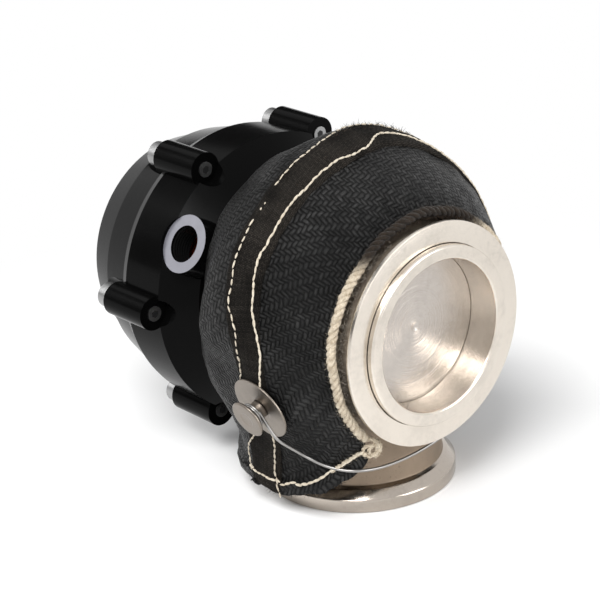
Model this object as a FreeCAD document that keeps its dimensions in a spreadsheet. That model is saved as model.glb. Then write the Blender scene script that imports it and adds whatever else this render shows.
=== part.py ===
import FreeCAD, Part
import math
import os
import Sketcher

# Exhaust gate in its laced heat blanket.
# The valve axis runs along +Y, axis_height above the outlet flange. The inlet faces -Y.
# The outlet axis is the Z axis, and the outlet flange face is z = 0.
# "Reach" is a place along the valve axis, counted from the outlet axis towards the actuator.
# "Front" reaches lie on the inlet side, and are counted the other way.

SIZES = {
    "axis_height": 69.8,
    # Inlet flange and the seat ring in its counterbore
    "inlet_front": 44.7,
    "inlet_flange_radius": 42.7,
    "inlet_rim": 2.0,
    "inlet_taper": 2.6,
    "inlet_neck_radius": 37.2,
    "seat_bore_radius": 29.0,
    "seat_lip_radius": 34.4,
    "seat_lip_height": 2.75,
    "seat_lip_depth": 2.7,
    "seat_pilot_radius": 33.0,
    "seat_back_front": 32.9,
    "seat_cone": 1.0,
    "seat_edge_break": 0.6,
    "ring_clearance": 0.3,
    "pilot_clearance": 0.04,
    # Valve and its stem
    "valve_radius": 29.9,
    "valve_gap": 0.06,
    "valve_rim": 1.6,
    "valve_tulip": 13.0,
    "valve_tulip_radius": 27.0,
    "valve_dimple_radius": 1.6,
    "valve_dimple_depth": 0.7,
    "stem_radius": 4.5,
    "stem_thread_radius": 4.0,
    "stem_thread_over": 2.0,
    "stem_running_gap": 0.03,
    # Cast body
    "neck_start": 40.0,
    "neck_front": 34.0,
    "bulb_shoulder_radius": 40.5,
    "bulb_front": 13.0,
    "bulb_back": 15.0,
    "bulb_centre_radius": 14.25,
    "chamber_radius": 38.0,
    "chamber_front": 12.0,
    "chamber_reach": 9.0,
    "roof_reach": 16.0,
    "roof_radius": 24.0,
    "mount_flange_radius": 39.0,
    "mount_flange_start": 26.0,
    "mount_face": 33.0,
    "guide_boss_radius": 12.0,
    "guide_boss_reach": 11.0,
    "guide_radius": 8.0,
    "guide_start": 9.5,
    "guide_length": 18.0,
    "stem_hole_gap": 1.0,
    # Outlet neck and flange
    "outlet_flange_radius": 37.5,
    "outlet_rim": 4.9,
    "outlet_taper": 3.2,
    "outlet_crown_radius": 34.2,
    "outlet_crown": 1.0,
    "outlet_neck_radius": 32.3,
    "outlet_bore_radius": 28.0,
    "passage_straight": 27.0,
    "passage_throat_radius": 16.0,
    "passage_top": 41.0,
    # Heat isolator and body bolts
    "isolator_thickness": 3.0,
    "isolator_radius": 38.0,
    "isolator_bore_gap": 3.0,
    "body_bolt_count": 4,
    "body_bolt_pitch": 25.0,
    "bolt_radius": 3.0,
    "bolt_hole_gap": 0.05,
    "bolt_clearance": 0.3,
    "bolt_head_radius": 5.0,
    "low_head_height": 4.0,
    "bolt_head_height": 6.0,
    "hex_radius": 2.9,
    "hex_depth": 3.0,
    "body_bolt_length": 18.0,
    "body_bolt_depth": 11.5,
    # Lower housing
    "floor_thickness": 4.5,
    "foot_radius": 46.0,
    "band_radius": 57.0,
    "band_start": 47.0,
    "parting_reach": 66.0,
    "chamber_wall_radius": 46.6,
    "chamber_corner": 3.5,
    "bush_boss_radius": 12.0,
    "bush_boss_height": 3.4,
    "bush_radius": 7.0,
    "bush_length": 4.4,
    "seal_length": 3.2,
    "seal_gap": 0.1,
    "ear_count": 6,
    "ear_radius": 6.7,
    "ear_start": 48.5,
    "ear_height_cap": 6.0,
    "screw_pitch_radius": 58.0,
    "scallop_radius": 5.6,
    "scallop_depth": 8.5,
    "screw_length": 24.0,
    # Side port
    "port_angle": 150.0,
    "port_reach": 39.6,
    "port_face": 55.5,
    "port_face_radius": 11.3,
    "port_root": 43.0,
    "port_floor": 45.2,
    "port_bore_radius": 7.15,
    # Diaphragm, cup and plate
    "membrane": 1.2,
    "membrane_gap": 0.05,
    "bead_radius": 53.0,
    "head_gap": 0.8,
    "plate_thickness": 2.0,
    "plate_radius": 30.0,
    "cup_radius": 37.6,
    "cup_base": 3.0,
    "cup_wall": 3.0,
    "cup_height": 20.5,
    "roll_rise": 3.6,
    "nut_radius": 7.4,
    "nut_height": 6.0,
    # Springs
    "outer_spring_radius": 29.0,
    "outer_wire_radius": 2.2,
    "outer_turns": 5.5,
    "inner_spring_radius": 17.0,
    "inner_wire_radius": 1.6,
    "inner_turns": 7.0,
    # Upper cap
    "cap_inner_radius": 47.0,
    "cap_height": 39.8,
    "cap_end_thickness": 4.8,
    "cap_rim_radius": 56.5,
    "cap_rim": 2.2,
    "cap_shoulder_radius": 54.6,
    "cap_shoulder_height": 6.4,
    "cap_groove_height": 22.4,
    "cap_groove_radius": 50.6,
    "cap_groove_step": 1.0,
    "cap_end_radius": 44.2,
    "cap_end_chamfer": 1.2,
    "cap_inner_end_radius": 39.5,
    "cap_bore_depth": 20.0,
    "flute_radius": 7.3,
    "cap_port_radius": 4.25,
    # Blanket
    "collar_front": 35.0,
    "collar_radius": 46.8,
    "cone_front": 12.5,
    "cone_radius": 63.2,
    "crown_reach": 1.5,
    "shoulder_reach": 12.0,
    "shoulder_radius": 65.0,
    "flank_reach": 26.0,
    "flank_radius": 61.8,
    "rear_reach": 37.0,
    "rear_round_radius": 52.5,
    "rear_hole_radius": 50.4,
    "skirt_radius": 45.0,
    "skirt_hem": 5.6,
    "skirt_back": 39.8,
    "batting_hem": 10.2,
    "skin": 1.6,
    "liner": 1.2,
    "liner_front": 39.0,
    "liner_end": 32.8,
    "layer_gap": 0.3,
    "fit_gap": 0.5,
    "opening_half_width": 28.0,
    "opening_depth": 14.0,
    "port_notch": 0.9,
    # Edge cord, tape and lacing
    "edge_cord_radius": 2.4,
    "edge_cord_ring": 44.6,
    "edge_cord_angle": 280.0,
    "tape_width": 15.0,
    "tape_thickness": 0.7,
    "tape_back": 1.6,
    "tape_gap": 0.05,
    "tape_angle": 230.0,
    "anchor_angle": 20.2,
    "anchor_front": 10.7,
    "anchor_seat": 59.0,
    "anchor_base_radius": 13.0,
    "anchor_base_thickness": 0.9,
    "anchor_spool_radius": 3.6,
    "anchor_spool_height": 5.6,
    "anchor_cap_radius": 7.5,
    "anchor_cap_thickness": 1.3,
    "anchor_pin_radius": 1.6,
    "anchor_pin_length": 9.0,
    "anchor_clip_radius": 6.0,
    "anchor_clip_thickness": 0.6,
    "anchor_clip_sink": 1.2,
    "lacing_radius": 0.6,
    # How far cutting tools run past what they cut
    "cut_over": 1.0,
    "flat_cut": 20.0,
}

# Half of the lacing wire's route, from its anchor to the middle of the outlet neck:
# angle round the outlet axis, distance outside the skirt, drop below the valve axis
LACING_HALF = [
    (194.4, 15.0, 21.4),
    (196.5, 11.1, 33.1),
    (205.1, 1.7, 42.1),
    (214.9, 1.7, 44.9),
    (221.8, 1.7, 46.5),
    (231.6, 1.6, 46.9),
]
ARC_SHARE = 0.45
SIDES = ((-1, "near"), (1, "far"))

NODES = []

doc = FreeCAD.newDocument("blanketed_gate")


class Size:
    """A length in millimetres with the sheet expression that gives it."""

    def __init__(self, value, text):
        self.value = value
        self.text = text

    def __add__(self, other):
        return joined(self, "+", other)

    def __radd__(self, other):
        return joined(other, "+", self)

    def __sub__(self, other):
        return joined(self, "-", other)

    def __rsub__(self, other):
        return joined(other, "-", self)

    def __mul__(self, other):
        return joined(self, "*", other)

    def __rmul__(self, other):
        return joined(other, "*", self)

    def __truediv__(self, other):
        return joined(self, "/", other)


def sized(item):
    """The item as a Size, also where it is a plain number."""
    return item if isinstance(item, Size) else Size(float(item), repr(float(item)))


def joined(first, sign, second):
    """Two sizes joined by one sign, in value and in expression."""
    first, second = sized(first), sized(second)
    values = {
        "+": first.value + second.value,
        "-": first.value - second.value,
        "*": first.value * second.value,
        "/": first.value / second.value if second.value else 0.0,
    }
    return Size(values[sign], "(%s %s %s)" % (first.text, sign, second.text))


def fill_sheet(values):
    """The sheet of driving dimensions, one row each, and the sizes that read it."""
    sheet = doc.addObject("Spreadsheet::Sheet", "Sizes")
    for row, (name, value) in enumerate(values.items(), start=1):
        sheet.set("A%d" % row, name)
        sheet.set("B%d" % row, str(value))
        sheet.setAlias("B%d" % row, name)
    doc.recompute()
    return {name: Size(float(sheet.get(name)), "Sizes." + name) for name in values}


SHEET = fill_sheet(SIZES)


class Sheet:
    """The driving dimensions by name."""

    def __getattr__(self, name):
        return SHEET[name]


S = Sheet()

# Every piece on the valve axis is drawn from a datum in front of the inlet
DATUM = Size(70.0, "70")
UP = FreeCAD.Vector(0, 0, 1)
ALONG_VALVE = FreeCAD.Rotation(FreeCAD.Vector(1, 0, 0), -90)
HOUSING_ROLL = 0.0 - S.port_angle.value
FIRST_EAR = S.port_angle.value - 90.0


def reach(size):
    """Height in the valve frame of a place behind the outlet axis."""
    return DATUM + size


def front(size):
    """Height in the valve frame of a place in front of the outlet axis."""
    return DATUM - size


def bind(thing, name, size):
    """Bind one property to the sheet."""
    thing.setExpression(name, sized(size).text)


def to_valve_frame(thing, roll=0.0):
    """Stand a thing's own Z on the valve axis, rolled about it by an angle in degrees."""
    thing.Placement.Rotation = ALONG_VALVE.multiply(FreeCAD.Rotation(UP, roll))
    bind(thing, "Placement.Base.y", 0.0 - DATUM)
    bind(thing, "Placement.Base.z", S.axis_height)
    return thing


def on_valve_axis(thing, angle, pitch, at, roll=0.0):
    """Place a thing with its Z along the valve axis, at an angle and a pitch round it."""
    turn = math.radians(angle)
    thing.Placement.Rotation = ALONG_VALVE.multiply(FreeCAD.Rotation(UP, roll))
    bind(thing, "Placement.Base.x", sized(pitch) * math.cos(turn))
    bind(thing, "Placement.Base.y", at)
    bind(thing, "Placement.Base.z", S.axis_height + sized(pitch) * math.sin(turn))


def on_anchor_axis(thing, side, distance):
    """Place a thing with its Z out along one lacing anchor, at a distance from the valve axis."""
    turn = math.radians(S.anchor_angle.value)
    direction = FreeCAD.Vector(side * math.cos(turn), 0, -math.sin(turn))
    thing.Placement.Rotation = FreeCAD.Rotation(UP, direction)
    bind(thing, "Placement.Base.x", distance * (side * math.cos(turn)))
    bind(thing, "Placement.Base.y", 0.0 - S.anchor_front)
    bind(thing, "Placement.Base.z", S.axis_height - distance * math.sin(turn))


def over_top(angle):
    """Roll that centres a sector of this angle over the top of the valve axis."""
    return -90.0 - angle.value / 2


def new_body(label):
    """An empty body with its own origin."""
    body = doc.addObject("PartDesign::Body", label)
    body.Label = label
    return body


def origin_plane(body, role):
    """One of the body's own origin planes."""
    for plane in body.Origin.OriginFeatures:
        if plane.Role == role:
            return plane
    raise ValueError(role)


def new_sketch(body, name, role, offset=None):
    """A sketch on an origin plane, shifted along its normal by a size."""
    sketch = body.newObject("Sketcher::SketchObject", name)
    sketch.AttachmentSupport = [(origin_plane(body, role), "")]
    sketch.MapMode = "FlatFace"
    if offset is not None:
        bind(sketch, "AttachmentOffset.Base.z", offset)
    return sketch


def hold(sketch, geometry, point, across, up):
    """Pin one point of a sketch to two sizes. A size of nothing puts it on the axis."""
    for kind, axis, size in (("DistanceX", -2, across), ("DistanceY", -1, up)):
        size = sized(size)
        if size.value == 0:
            sketch.addConstraint(Sketcher.Constraint("PointOnObject", geometry, point, axis))
            continue
        index = sketch.addConstraint(
            Sketcher.Constraint(kind, -1, 1, geometry, point, size.value))
        bind(sketch, "Constraints[%d]" % index, size)


def arc_centre(start, end, pin):
    """Centre of the arc through two points, where one of its two coordinates is known."""
    kind, known = pin[0], sized(pin[1]).value
    (a1, b1), (a2, b2) = (start, end) if kind == "up" else (start[::-1], end[::-1])
    found = (a1 * a1 - a2 * a2 + (b1 - known) ** 2 - (b2 - known) ** 2) / (2 * (a1 - a2))
    return (found, known) if kind == "up" else (known, found)


def draw_arc(sketch, start, end, pin, clockwise):
    """An arc from start to end about a centre that is pinned one way."""
    centre = arc_centre(start, end, pin)
    angles = [math.atan2(p[1] - centre[1], p[0] - centre[0]) for p in (start, end)]
    radius = math.hypot(start[0] - centre[0], start[1] - centre[1])
    circle = Part.Circle(FreeCAD.Vector(centre[0], centre[1], 0), FreeCAD.Vector(0, 0, 1), radius)
    first, last = (angles[1], angles[0]) if clockwise else (angles[0], angles[1])
    if last <= first:
        last += 2 * math.pi
    return sketch.addGeometry(Part.ArcOfCircle(circle, first, last))


def draw_outline(sketch, steps):
    """A closed outline. A step is (across, up), or (across, up, pin, turn) where the edge
    that arrives there is an arc that turns "left" or "right". The pin is ("up", height of
    its centre) or ("across", radius of its centre)."""
    points = [(sized(step[0]).value, sized(step[1]).value) for step in steps]
    edges = []
    for index, step in enumerate(steps):
        start, end = points[index - 1], points[index]
        if len(step) == 2:
            line = Part.LineSegment(FreeCAD.Vector(*start, 0), FreeCAD.Vector(*end, 0))
            edges.append((sketch.addGeometry(line), 1, 2))
        else:
            clockwise = step[3] == "right"
            edge = draw_arc(sketch, start, end, step[2], clockwise)
            edges.append((edge, 2, 1) if clockwise else (edge, 1, 2))
    for index, step in enumerate(steps):
        edge, _, last = edges[index]
        following, first, _ = edges[(index + 1) % len(edges)]
        sketch.addConstraint(Sketcher.Constraint("Coincident", edge, last, following, first))
        hold(sketch, edge, last, step[0], step[1])
        if len(step) == 4:
            kind, known = "Distance" + ("Y" if step[2][0] == "up" else "X"), sized(step[2][1])
            centre = Sketcher.Constraint(kind, -1, 1, edge, 3, known.value)
            bind(sketch, "Constraints[%d]" % sketch.addConstraint(centre), known)


def draw_circle(sketch, across, up, radius):
    """A circle held by its centre and radius."""
    centre = FreeCAD.Vector(sized(across).value, sized(up).value, 0)
    circle = Part.Circle(centre, FreeCAD.Vector(0, 0, 1), sized(radius).value)
    edge = sketch.addGeometry(circle)
    hold(sketch, edge, 3, across, up)
    mark = sketch.addConstraint(Sketcher.Constraint("Radius", edge, sized(radius).value))
    bind(sketch, "Constraints[%d]" % mark, radius)


def revolve(body, name, steps, cut=False):
    """Turn an outline about the body's Z axis, as solid or as a cut."""
    sketch = new_sketch(body, name + "_outline", "XZ_Plane")
    draw_outline(sketch, steps)
    feature = body.newObject("PartDesign::Groove" if cut else "PartDesign::Revolution", name)
    feature.Profile = sketch
    feature.ReferenceAxis = (sketch, ["V_Axis"])
    feature.Angle = 360
    body.Tip = feature
    return feature


def extrude(body, name, sketch, length, cut=False, reverse=False):
    """Pad or pocket a sketch over a length."""
    feature = body.newObject("PartDesign::Pocket" if cut else "PartDesign::Pad", name)
    feature.Profile = sketch
    feature.Type = 0
    feature.Reversed = reverse
    bind(feature, "Length", length)
    body.Tip = feature
    return feature


def repeat_round(body, name, feature, count):
    """Repeat one feature evenly round the body's Z axis."""
    axis = next(item for item in body.Origin.OriginFeatures if item.Role == "Z_Axis")
    pattern = body.newObject("PartDesign::PolarPattern", name)
    pattern.Originals = [feature]
    pattern.Axis = (axis, [""])
    pattern.Angle = 360
    bind(pattern, "Occurrences", count)
    body.Tip = pattern
    return pattern


def drilled(body, name, pitch, radius, start, length, count):
    """A ring of round holes from a starting height upwards."""
    sketch = new_sketch(body, name + "_circle", "XY_Plane", start)
    draw_circle(sketch, 0, pitch, radius)
    hole = extrude(body, name, sketch, length, cut=True, reverse=True)
    return repeat_round(body, name + "_ring", hole, count)


def turned(label, steps, node=True, roll=0.0):
    """A piece turned about the valve axis from one outline."""
    body = to_valve_frame(new_body(label), roll)
    revolve(body, label + "_turn", steps)
    if node:
        NODES.append(body)
    return body


def standing(label, steps):
    """A piece turned about the outlet axis."""
    body = new_body(label)
    revolve(body, label + "_turn", steps)
    return body


def combined(kind, label, pieces, node=False):
    """A boolean of finished pieces."""
    thing = doc.addObject("Part::" + kind, label)
    thing.Label = label
    if kind == "Cut":
        thing.Base, thing.Tool = pieces
    else:
        thing.Shapes = pieces
    if node:
        NODES.append(thing)
    return thing


def cylinder(label, radius, height):
    """A plain cylinder with bound radius and height."""
    thing = doc.addObject("Part::Cylinder", label)
    bind(thing, "Radius", radius)
    bind(thing, "Height", height)
    return thing


def box(label, length, width, height):
    """A plain box with bound sides."""
    thing = doc.addObject("Part::Box", label)
    bind(thing, "Length", length)
    bind(thing, "Width", width)
    bind(thing, "Height", height)
    return thing


def group(label, pieces):
    """One node that holds several separate solids."""
    thing = doc.addObject("Part::Compound", label)
    thing.Label = label
    thing.Links = pieces
    NODES.append(thing)


def ring_of_rods(label, count, pitch, radius, start, length):
    """Alike cylinders round the valve axis, in line with the housing's ears."""
    rods = []
    for index in range(round(count.value)):
        rod = cylinder("%s_%d" % (label, index + 1), radius, length)
        on_valve_axis(rod, FIRST_EAR + 360.0 * index / round(count.value), pitch, start)
        rods.append(rod)
    return rods


# Seat ring, valve and guide

SEAT_START = front(S.inlet_front + S.seat_lip_height)
SEAT_BACK = front(S.seat_back_front)
SHOULDER = front(S.inlet_front - S.seat_lip_depth)
HEAD_REACH = S.mount_face + S.isolator_thickness + S.floor_thickness + S.low_head_height + S.head_gap
MEMBRANE_START = reach(HEAD_REACH + S.plate_thickness)
CUP_START = MEMBRANE_START + S.membrane
CAP_END = S.parting_reach + S.cap_height
NUT_REACH = HEAD_REACH + S.plate_thickness + S.membrane + S.cup_base
STEM_END = NUT_REACH + S.nut_height + S.stem_thread_over


def make_seat_ring():
    """Ring with the inlet bore, the lip that stands out of the flange and the conical seat."""
    edge = S.seat_edge_break
    turned("seat_ring", [
        (S.seat_bore_radius, SEAT_START + edge),
        (S.seat_bore_radius + edge, SEAT_START),
        (S.seat_lip_radius - edge, SEAT_START),
        (S.seat_lip_radius, SEAT_START + edge),
        (S.seat_lip_radius, SHOULDER),
        (S.seat_pilot_radius, SHOULDER),
        (S.seat_pilot_radius, SEAT_BACK),
        (S.seat_bore_radius + S.seat_cone, SEAT_BACK),
        (S.seat_bore_radius, SEAT_BACK - S.seat_cone),
    ])


def make_valve():
    """Valve head with its seat cone, tulip back, stem and threaded end."""
    face = SEAT_BACK - S.seat_cone
    rim_start = face + S.valve_gap + (S.valve_radius - S.seat_bore_radius)
    rim_end = rim_start + S.valve_rim
    neck = rim_end + S.valve_tulip
    body = turned("valve", [
        (0, face),
        (S.seat_bore_radius - S.valve_gap, face),
        (S.valve_radius, rim_start),
        (S.valve_radius, rim_end),
        (S.valve_tulip_radius, rim_end + (S.valve_radius - S.valve_tulip_radius) / 3),
        (S.stem_radius, neck, ("up", neck), "right"),
        (S.stem_radius, reach(HEAD_REACH)),
        (S.stem_thread_radius, reach(HEAD_REACH)),
        (S.stem_thread_radius, reach(STEM_END)),
        (0, reach(STEM_END)),
    ])
    revolve(body, "centre_dimple", [
        (0, face - S.valve_dimple_depth),
        (S.valve_dimple_radius, face - S.valve_dimple_depth),
        (S.valve_dimple_radius, face),
        (0, face + S.valve_dimple_depth),
    ], cut=True)


def make_stem_guide():
    """Bronze sleeve pressed into the cast body."""
    inner = S.stem_radius + S.stem_running_gap
    turned("stem_guide", [
        (inner, reach(S.guide_start)),
        (S.guide_radius, reach(S.guide_start)),
        (S.guide_radius, reach(S.guide_start + S.guide_length)),
        (inner, reach(S.guide_start + S.guide_length)),
    ])


# Cast body with its inlet and outlet flanges

def barrel_steps(grow, start, end):
    """Outside of the cast barrel as a solid of turning, grown by a clearance."""
    neck = S.inlet_neck_radius + grow
    flange = S.mount_flange_radius + grow
    shoulder = S.bulb_shoulder_radius + grow
    return [
        (0, start),
        (neck, start),
        (neck, front(S.neck_front)),
        (shoulder, front(S.bulb_front)),
        (shoulder, reach(S.bulb_back), ("across", S.bulb_centre_radius), "left"),
        (flange, reach(S.mount_flange_start)),
        (flange, end),
        (0, end),
    ]


def chamber_steps():
    """Inside of the barrel: counterbore, pilot bore, chamber, roof, guide bore and stem hole."""
    lip_room = S.seat_lip_radius + S.ring_clearance
    pilot_room = S.seat_pilot_radius + S.pilot_clearance
    guide_room = S.guide_radius + S.pilot_clearance
    guide_end = reach(S.guide_start + S.guide_length)
    return [
        (0, front(S.inlet_front + S.cut_over)),
        (lip_room, front(S.inlet_front + S.cut_over)),
        (lip_room, SHOULDER),
        (pilot_room, SHOULDER),
        (pilot_room, SEAT_BACK),
        (S.chamber_radius, front(S.chamber_front)),
        (S.chamber_radius, reach(S.chamber_reach)),
        (S.roof_radius, reach(S.roof_reach)),
        (S.guide_boss_radius, reach(S.roof_reach)),
        (S.guide_boss_radius, reach(S.guide_boss_reach)),
        (guide_room, reach(S.guide_boss_reach)),
        (guide_room, guide_end),
        (S.stem_radius + S.stem_hole_gap, guide_end),
        (S.stem_radius + S.stem_hole_gap, reach(S.mount_face + S.cut_over)),
        (0, reach(S.mount_face + S.cut_over)),
    ]


def make_valve_body():
    """Angle body: a barrel on the valve axis, a neck on the outlet axis, and both bores."""
    barrel = turned("barrel", barrel_steps(0.0, front(S.neck_start), reach(S.mount_face)), False)
    rim = front(S.inlet_front) + S.inlet_rim
    flange = turned("inlet_flange", [
        (0, front(S.inlet_front)),
        (S.inlet_flange_radius, front(S.inlet_front)),
        (S.inlet_flange_radius, rim),
        (S.inlet_neck_radius, rim + S.inlet_taper),
        (S.inlet_neck_radius, front(S.neck_start - S.cut_over)),
        (0, front(S.neck_start - S.cut_over)),
    ], False)
    taper_top = S.outlet_rim + S.outlet_taper
    neck = standing("neck", [
        (0, 0),
        (S.outlet_flange_radius, 0),
        (S.outlet_flange_radius, S.outlet_rim),
        (S.outlet_crown_radius, taper_top),
        (S.outlet_neck_radius, taper_top + S.outlet_crown),
        (S.outlet_neck_radius, S.axis_height),
        (0, S.axis_height),
    ])
    chamber = turned("chamber", chamber_steps(), False)
    passage = standing("passage", [
        (0, 0.0 - S.cut_over),
        (S.outlet_bore_radius, 0.0 - S.cut_over),
        (S.outlet_bore_radius, S.passage_straight),
        (S.passage_throat_radius, S.passage_top),
        (0, S.passage_top),
    ])
    holes = ring_of_rods("body_bolt_hole", S.body_bolt_count, S.body_bolt_pitch,
                         S.bolt_radius + S.bolt_hole_gap,
                         S.mount_face - S.body_bolt_depth, S.body_bolt_depth + S.cut_over)
    solid = combined("MultiFuse", "body_solid", [barrel, flange, neck])
    hollow = combined("MultiFuse", "body_hollow", [chamber, passage] + holes)
    combined("Cut", "valve_body", (solid, hollow), node=True)


# Heat isolator, body bolts and lower housing

FOOT = S.mount_face + S.isolator_thickness
FLOOR = FOOT + S.floor_thickness


def make_isolator():
    """Low-conductance ring between the hot body and the actuator."""
    inner = S.stem_radius + S.isolator_bore_gap
    body = turned("heat_isolator", [
        (inner, reach(S.mount_face)),
        (S.isolator_radius, reach(S.mount_face)),
        (S.isolator_radius, reach(FOOT)),
        (inner, reach(FOOT)),
    ], roll=HOUSING_ROLL)
    drilled(body, "bolt_hole", S.body_bolt_pitch, S.bolt_radius + S.bolt_clearance,
            reach(S.mount_face - S.cut_over), S.isolator_thickness + 2 * S.cut_over,
            S.body_bolt_count)


def make_lower_housing():
    """Machined pressure housing: floor, cone, ears with tool scallops, side port and chamber."""
    body = turned("lower_housing", [
        (0, reach(FOOT)),
        (S.foot_radius, reach(FOOT)),
        (S.band_radius, reach(S.band_start)),
        (S.band_radius, reach(S.parting_reach)),
        (0, reach(S.parting_reach)),
    ], roll=HOUSING_ROLL)
    ear_height = S.parting_reach - S.ear_start
    sketch = new_sketch(body, "ear_outline", "XY_Plane", reach(S.ear_start))
    draw_circle(sketch, 0, S.screw_pitch_radius, S.ear_radius)
    ear = extrude(body, "ear", sketch, ear_height)
    repeat_round(body, "ears", ear, S.ear_count)
    drilled(body, "scallop", S.screw_pitch_radius, S.scallop_radius,
            reach(S.ear_start - S.scallop_depth), S.scallop_depth, S.ear_count)
    sketch = new_sketch(body, "port_boss_outline", "YZ_Plane", S.port_root)
    draw_circle(sketch, 0, reach(S.port_reach), S.port_face_radius)
    extrude(body, "port_boss", sketch, S.port_face - S.port_root)
    sketch = new_sketch(body, "port_spotface_outline", "YZ_Plane", S.port_face)
    draw_circle(sketch, 0, reach(S.port_reach), S.port_face_radius)
    extrude(body, "port_spotface", sketch, S.band_radius - S.port_face + S.cut_over,
            cut=True, reverse=True)
    boss_top = reach(FLOOR + S.bush_boss_height)
    revolve(body, "chamber_cut", [
        (S.chamber_wall_radius, reach(S.parting_reach + S.cut_over)),
        (S.chamber_wall_radius, reach(FLOOR + S.chamber_corner)),
        (S.chamber_wall_radius - S.chamber_corner, reach(FLOOR)),
        (S.bush_boss_radius, reach(FLOOR)),
        (S.bush_boss_radius, boss_top),
        (0, boss_top),
        (0, reach(S.parting_reach + S.cut_over)),
    ], cut=True)
    revolve(body, "bead_recess", [
        (0, reach(S.parting_reach) - S.membrane),
        (S.bead_radius, reach(S.parting_reach) - S.membrane),
        (S.bead_radius, reach(S.parting_reach + S.cut_over)),
        (0, reach(S.parting_reach + S.cut_over)),
    ], cut=True)
    revolve(body, "bush_bore", [
        (0, reach(FOOT - S.cut_over)),
        (S.bush_radius + S.pilot_clearance, reach(FOOT - S.cut_over)),
        (S.bush_radius + S.pilot_clearance, boss_top + S.cut_over),
        (0, boss_top + S.cut_over),
    ], cut=True)
    sketch = new_sketch(body, "port_bore_outline", "YZ_Plane", S.port_floor)
    draw_circle(sketch, 0, reach(S.port_reach), S.port_bore_radius)
    extrude(body, "port_bore", sketch, S.port_face - S.port_floor + S.cut_over,
            cut=True, reverse=True)
    drilled(body, "body_bolt_clearance", S.body_bolt_pitch, S.bolt_radius + S.bolt_clearance,
            reach(FOOT - S.cut_over), S.floor_thickness + 2 * S.cut_over, S.body_bolt_count)
    drilled(body, "screw_thread", S.screw_pitch_radius, S.bolt_radius + S.bolt_hole_gap,
            reach(S.ear_start - S.cut_over), ear_height + 2 * S.cut_over, S.ear_count)


def make_bush_and_seal():
    """Stem bushing and the seal above it, in the housing's central bore."""
    running = S.stem_radius + S.stem_running_gap
    turned("stem_bushing", [
        (running, reach(FOOT)),
        (S.bush_radius, reach(FOOT)),
        (S.bush_radius, reach(FOOT + S.bush_length)),
        (running, reach(FOOT + S.bush_length)),
    ])
    start = FOOT + S.bush_length + S.seal_gap
    turned("stem_seal", [
        (running, reach(start)),
        (S.bush_radius, reach(start)),
        (S.bush_radius, reach(start + S.seal_length)),
        (running, reach(start + S.seal_length)),
    ])


# Moving parts above the floor and the springs

def make_diaphragm():
    """Rolling membrane: clamped bead, outer leg, roll, inner leg and flat head."""
    inner_leg = S.cup_radius + S.membrane_gap
    outer_leg = S.chamber_wall_radius - S.membrane_gap
    roll = reach(S.parting_reach + S.roll_rise)
    clamp = reach(S.parting_reach)
    hole = S.stem_thread_radius + S.membrane_gap
    turned("diaphragm", [
        (hole, MEMBRANE_START),
        (inner_leg + S.membrane, MEMBRANE_START),
        (inner_leg + S.membrane, roll),
        (outer_leg - S.membrane, roll, ("up", roll), "right"),
        (outer_leg - S.membrane, clamp - S.membrane),
        (S.bead_radius - S.membrane_gap, clamp - S.membrane),
        (S.bead_radius - S.membrane_gap, clamp),
        (outer_leg, clamp),
        (outer_leg, roll),
        (inner_leg, roll, ("up", roll), "left"),
        (inner_leg, CUP_START),
        (hole, CUP_START),
    ])


def make_piston():
    """Retaining plate below the membrane, cup above it, and the nut that clamps them."""
    hole = S.stem_thread_radius + S.membrane_gap
    turned("piston_plate", [
        (hole, reach(HEAD_REACH)),
        (S.plate_radius, reach(HEAD_REACH)),
        (S.plate_radius, MEMBRANE_START),
        (hole, MEMBRANE_START),
    ])
    turned("piston_cup", [
        (hole, CUP_START),
        (S.cup_radius, CUP_START),
        (S.cup_radius, CUP_START + S.cup_height),
        (S.cup_radius - S.cup_wall, CUP_START + S.cup_height),
        (S.cup_radius - S.cup_wall, CUP_START + S.cup_base),
        (hole, CUP_START + S.cup_base),
    ])
    blank = doc.addObject("Part::Prism", "nut_blank")
    blank.Polygon = 6
    bind(blank, "Circumradius", S.nut_radius)
    bind(blank, "Height", S.nut_height)
    on_valve_axis(blank, 0.0, 0.0, NUT_REACH)
    bore = cylinder("nut_bore", hole, S.nut_height + 2 * S.cut_over)
    on_valve_axis(bore, 0.0, 0.0, NUT_REACH - S.cut_over)
    combined("Cut", "stem_nut", (blank, bore), node=True)


def make_spring(label, radius, wire, turns):
    """Coil spring from the cup's base to the cap's end wall."""
    start = CUP_START - DATUM + S.cup_base + wire
    length = CAP_END - S.cap_end_thickness - wire - start
    coil = doc.addObject("Part::Helix", label + "_coil")
    bind(coil, "Radius", radius)
    bind(coil, "Height", length)
    bind(coil, "Pitch", length / turns)
    on_valve_axis(coil, 0.0, 0.0, start)
    section = doc.addObject("Part::Circle", label + "_section")
    bind(section, "Radius", wire)
    bind(section, "Placement.Base.x", radius)
    bind(section, "Placement.Base.y", start)
    bind(section, "Placement.Base.z", S.axis_height)
    spring = doc.addObject("Part::Sweep", label)
    spring.Label = label
    spring.Sections = [section]
    spring.Spine = (coil, [])
    spring.Solid = True
    spring.Frenet = True
    NODES.append(spring)


# Upper cap and screws

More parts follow.
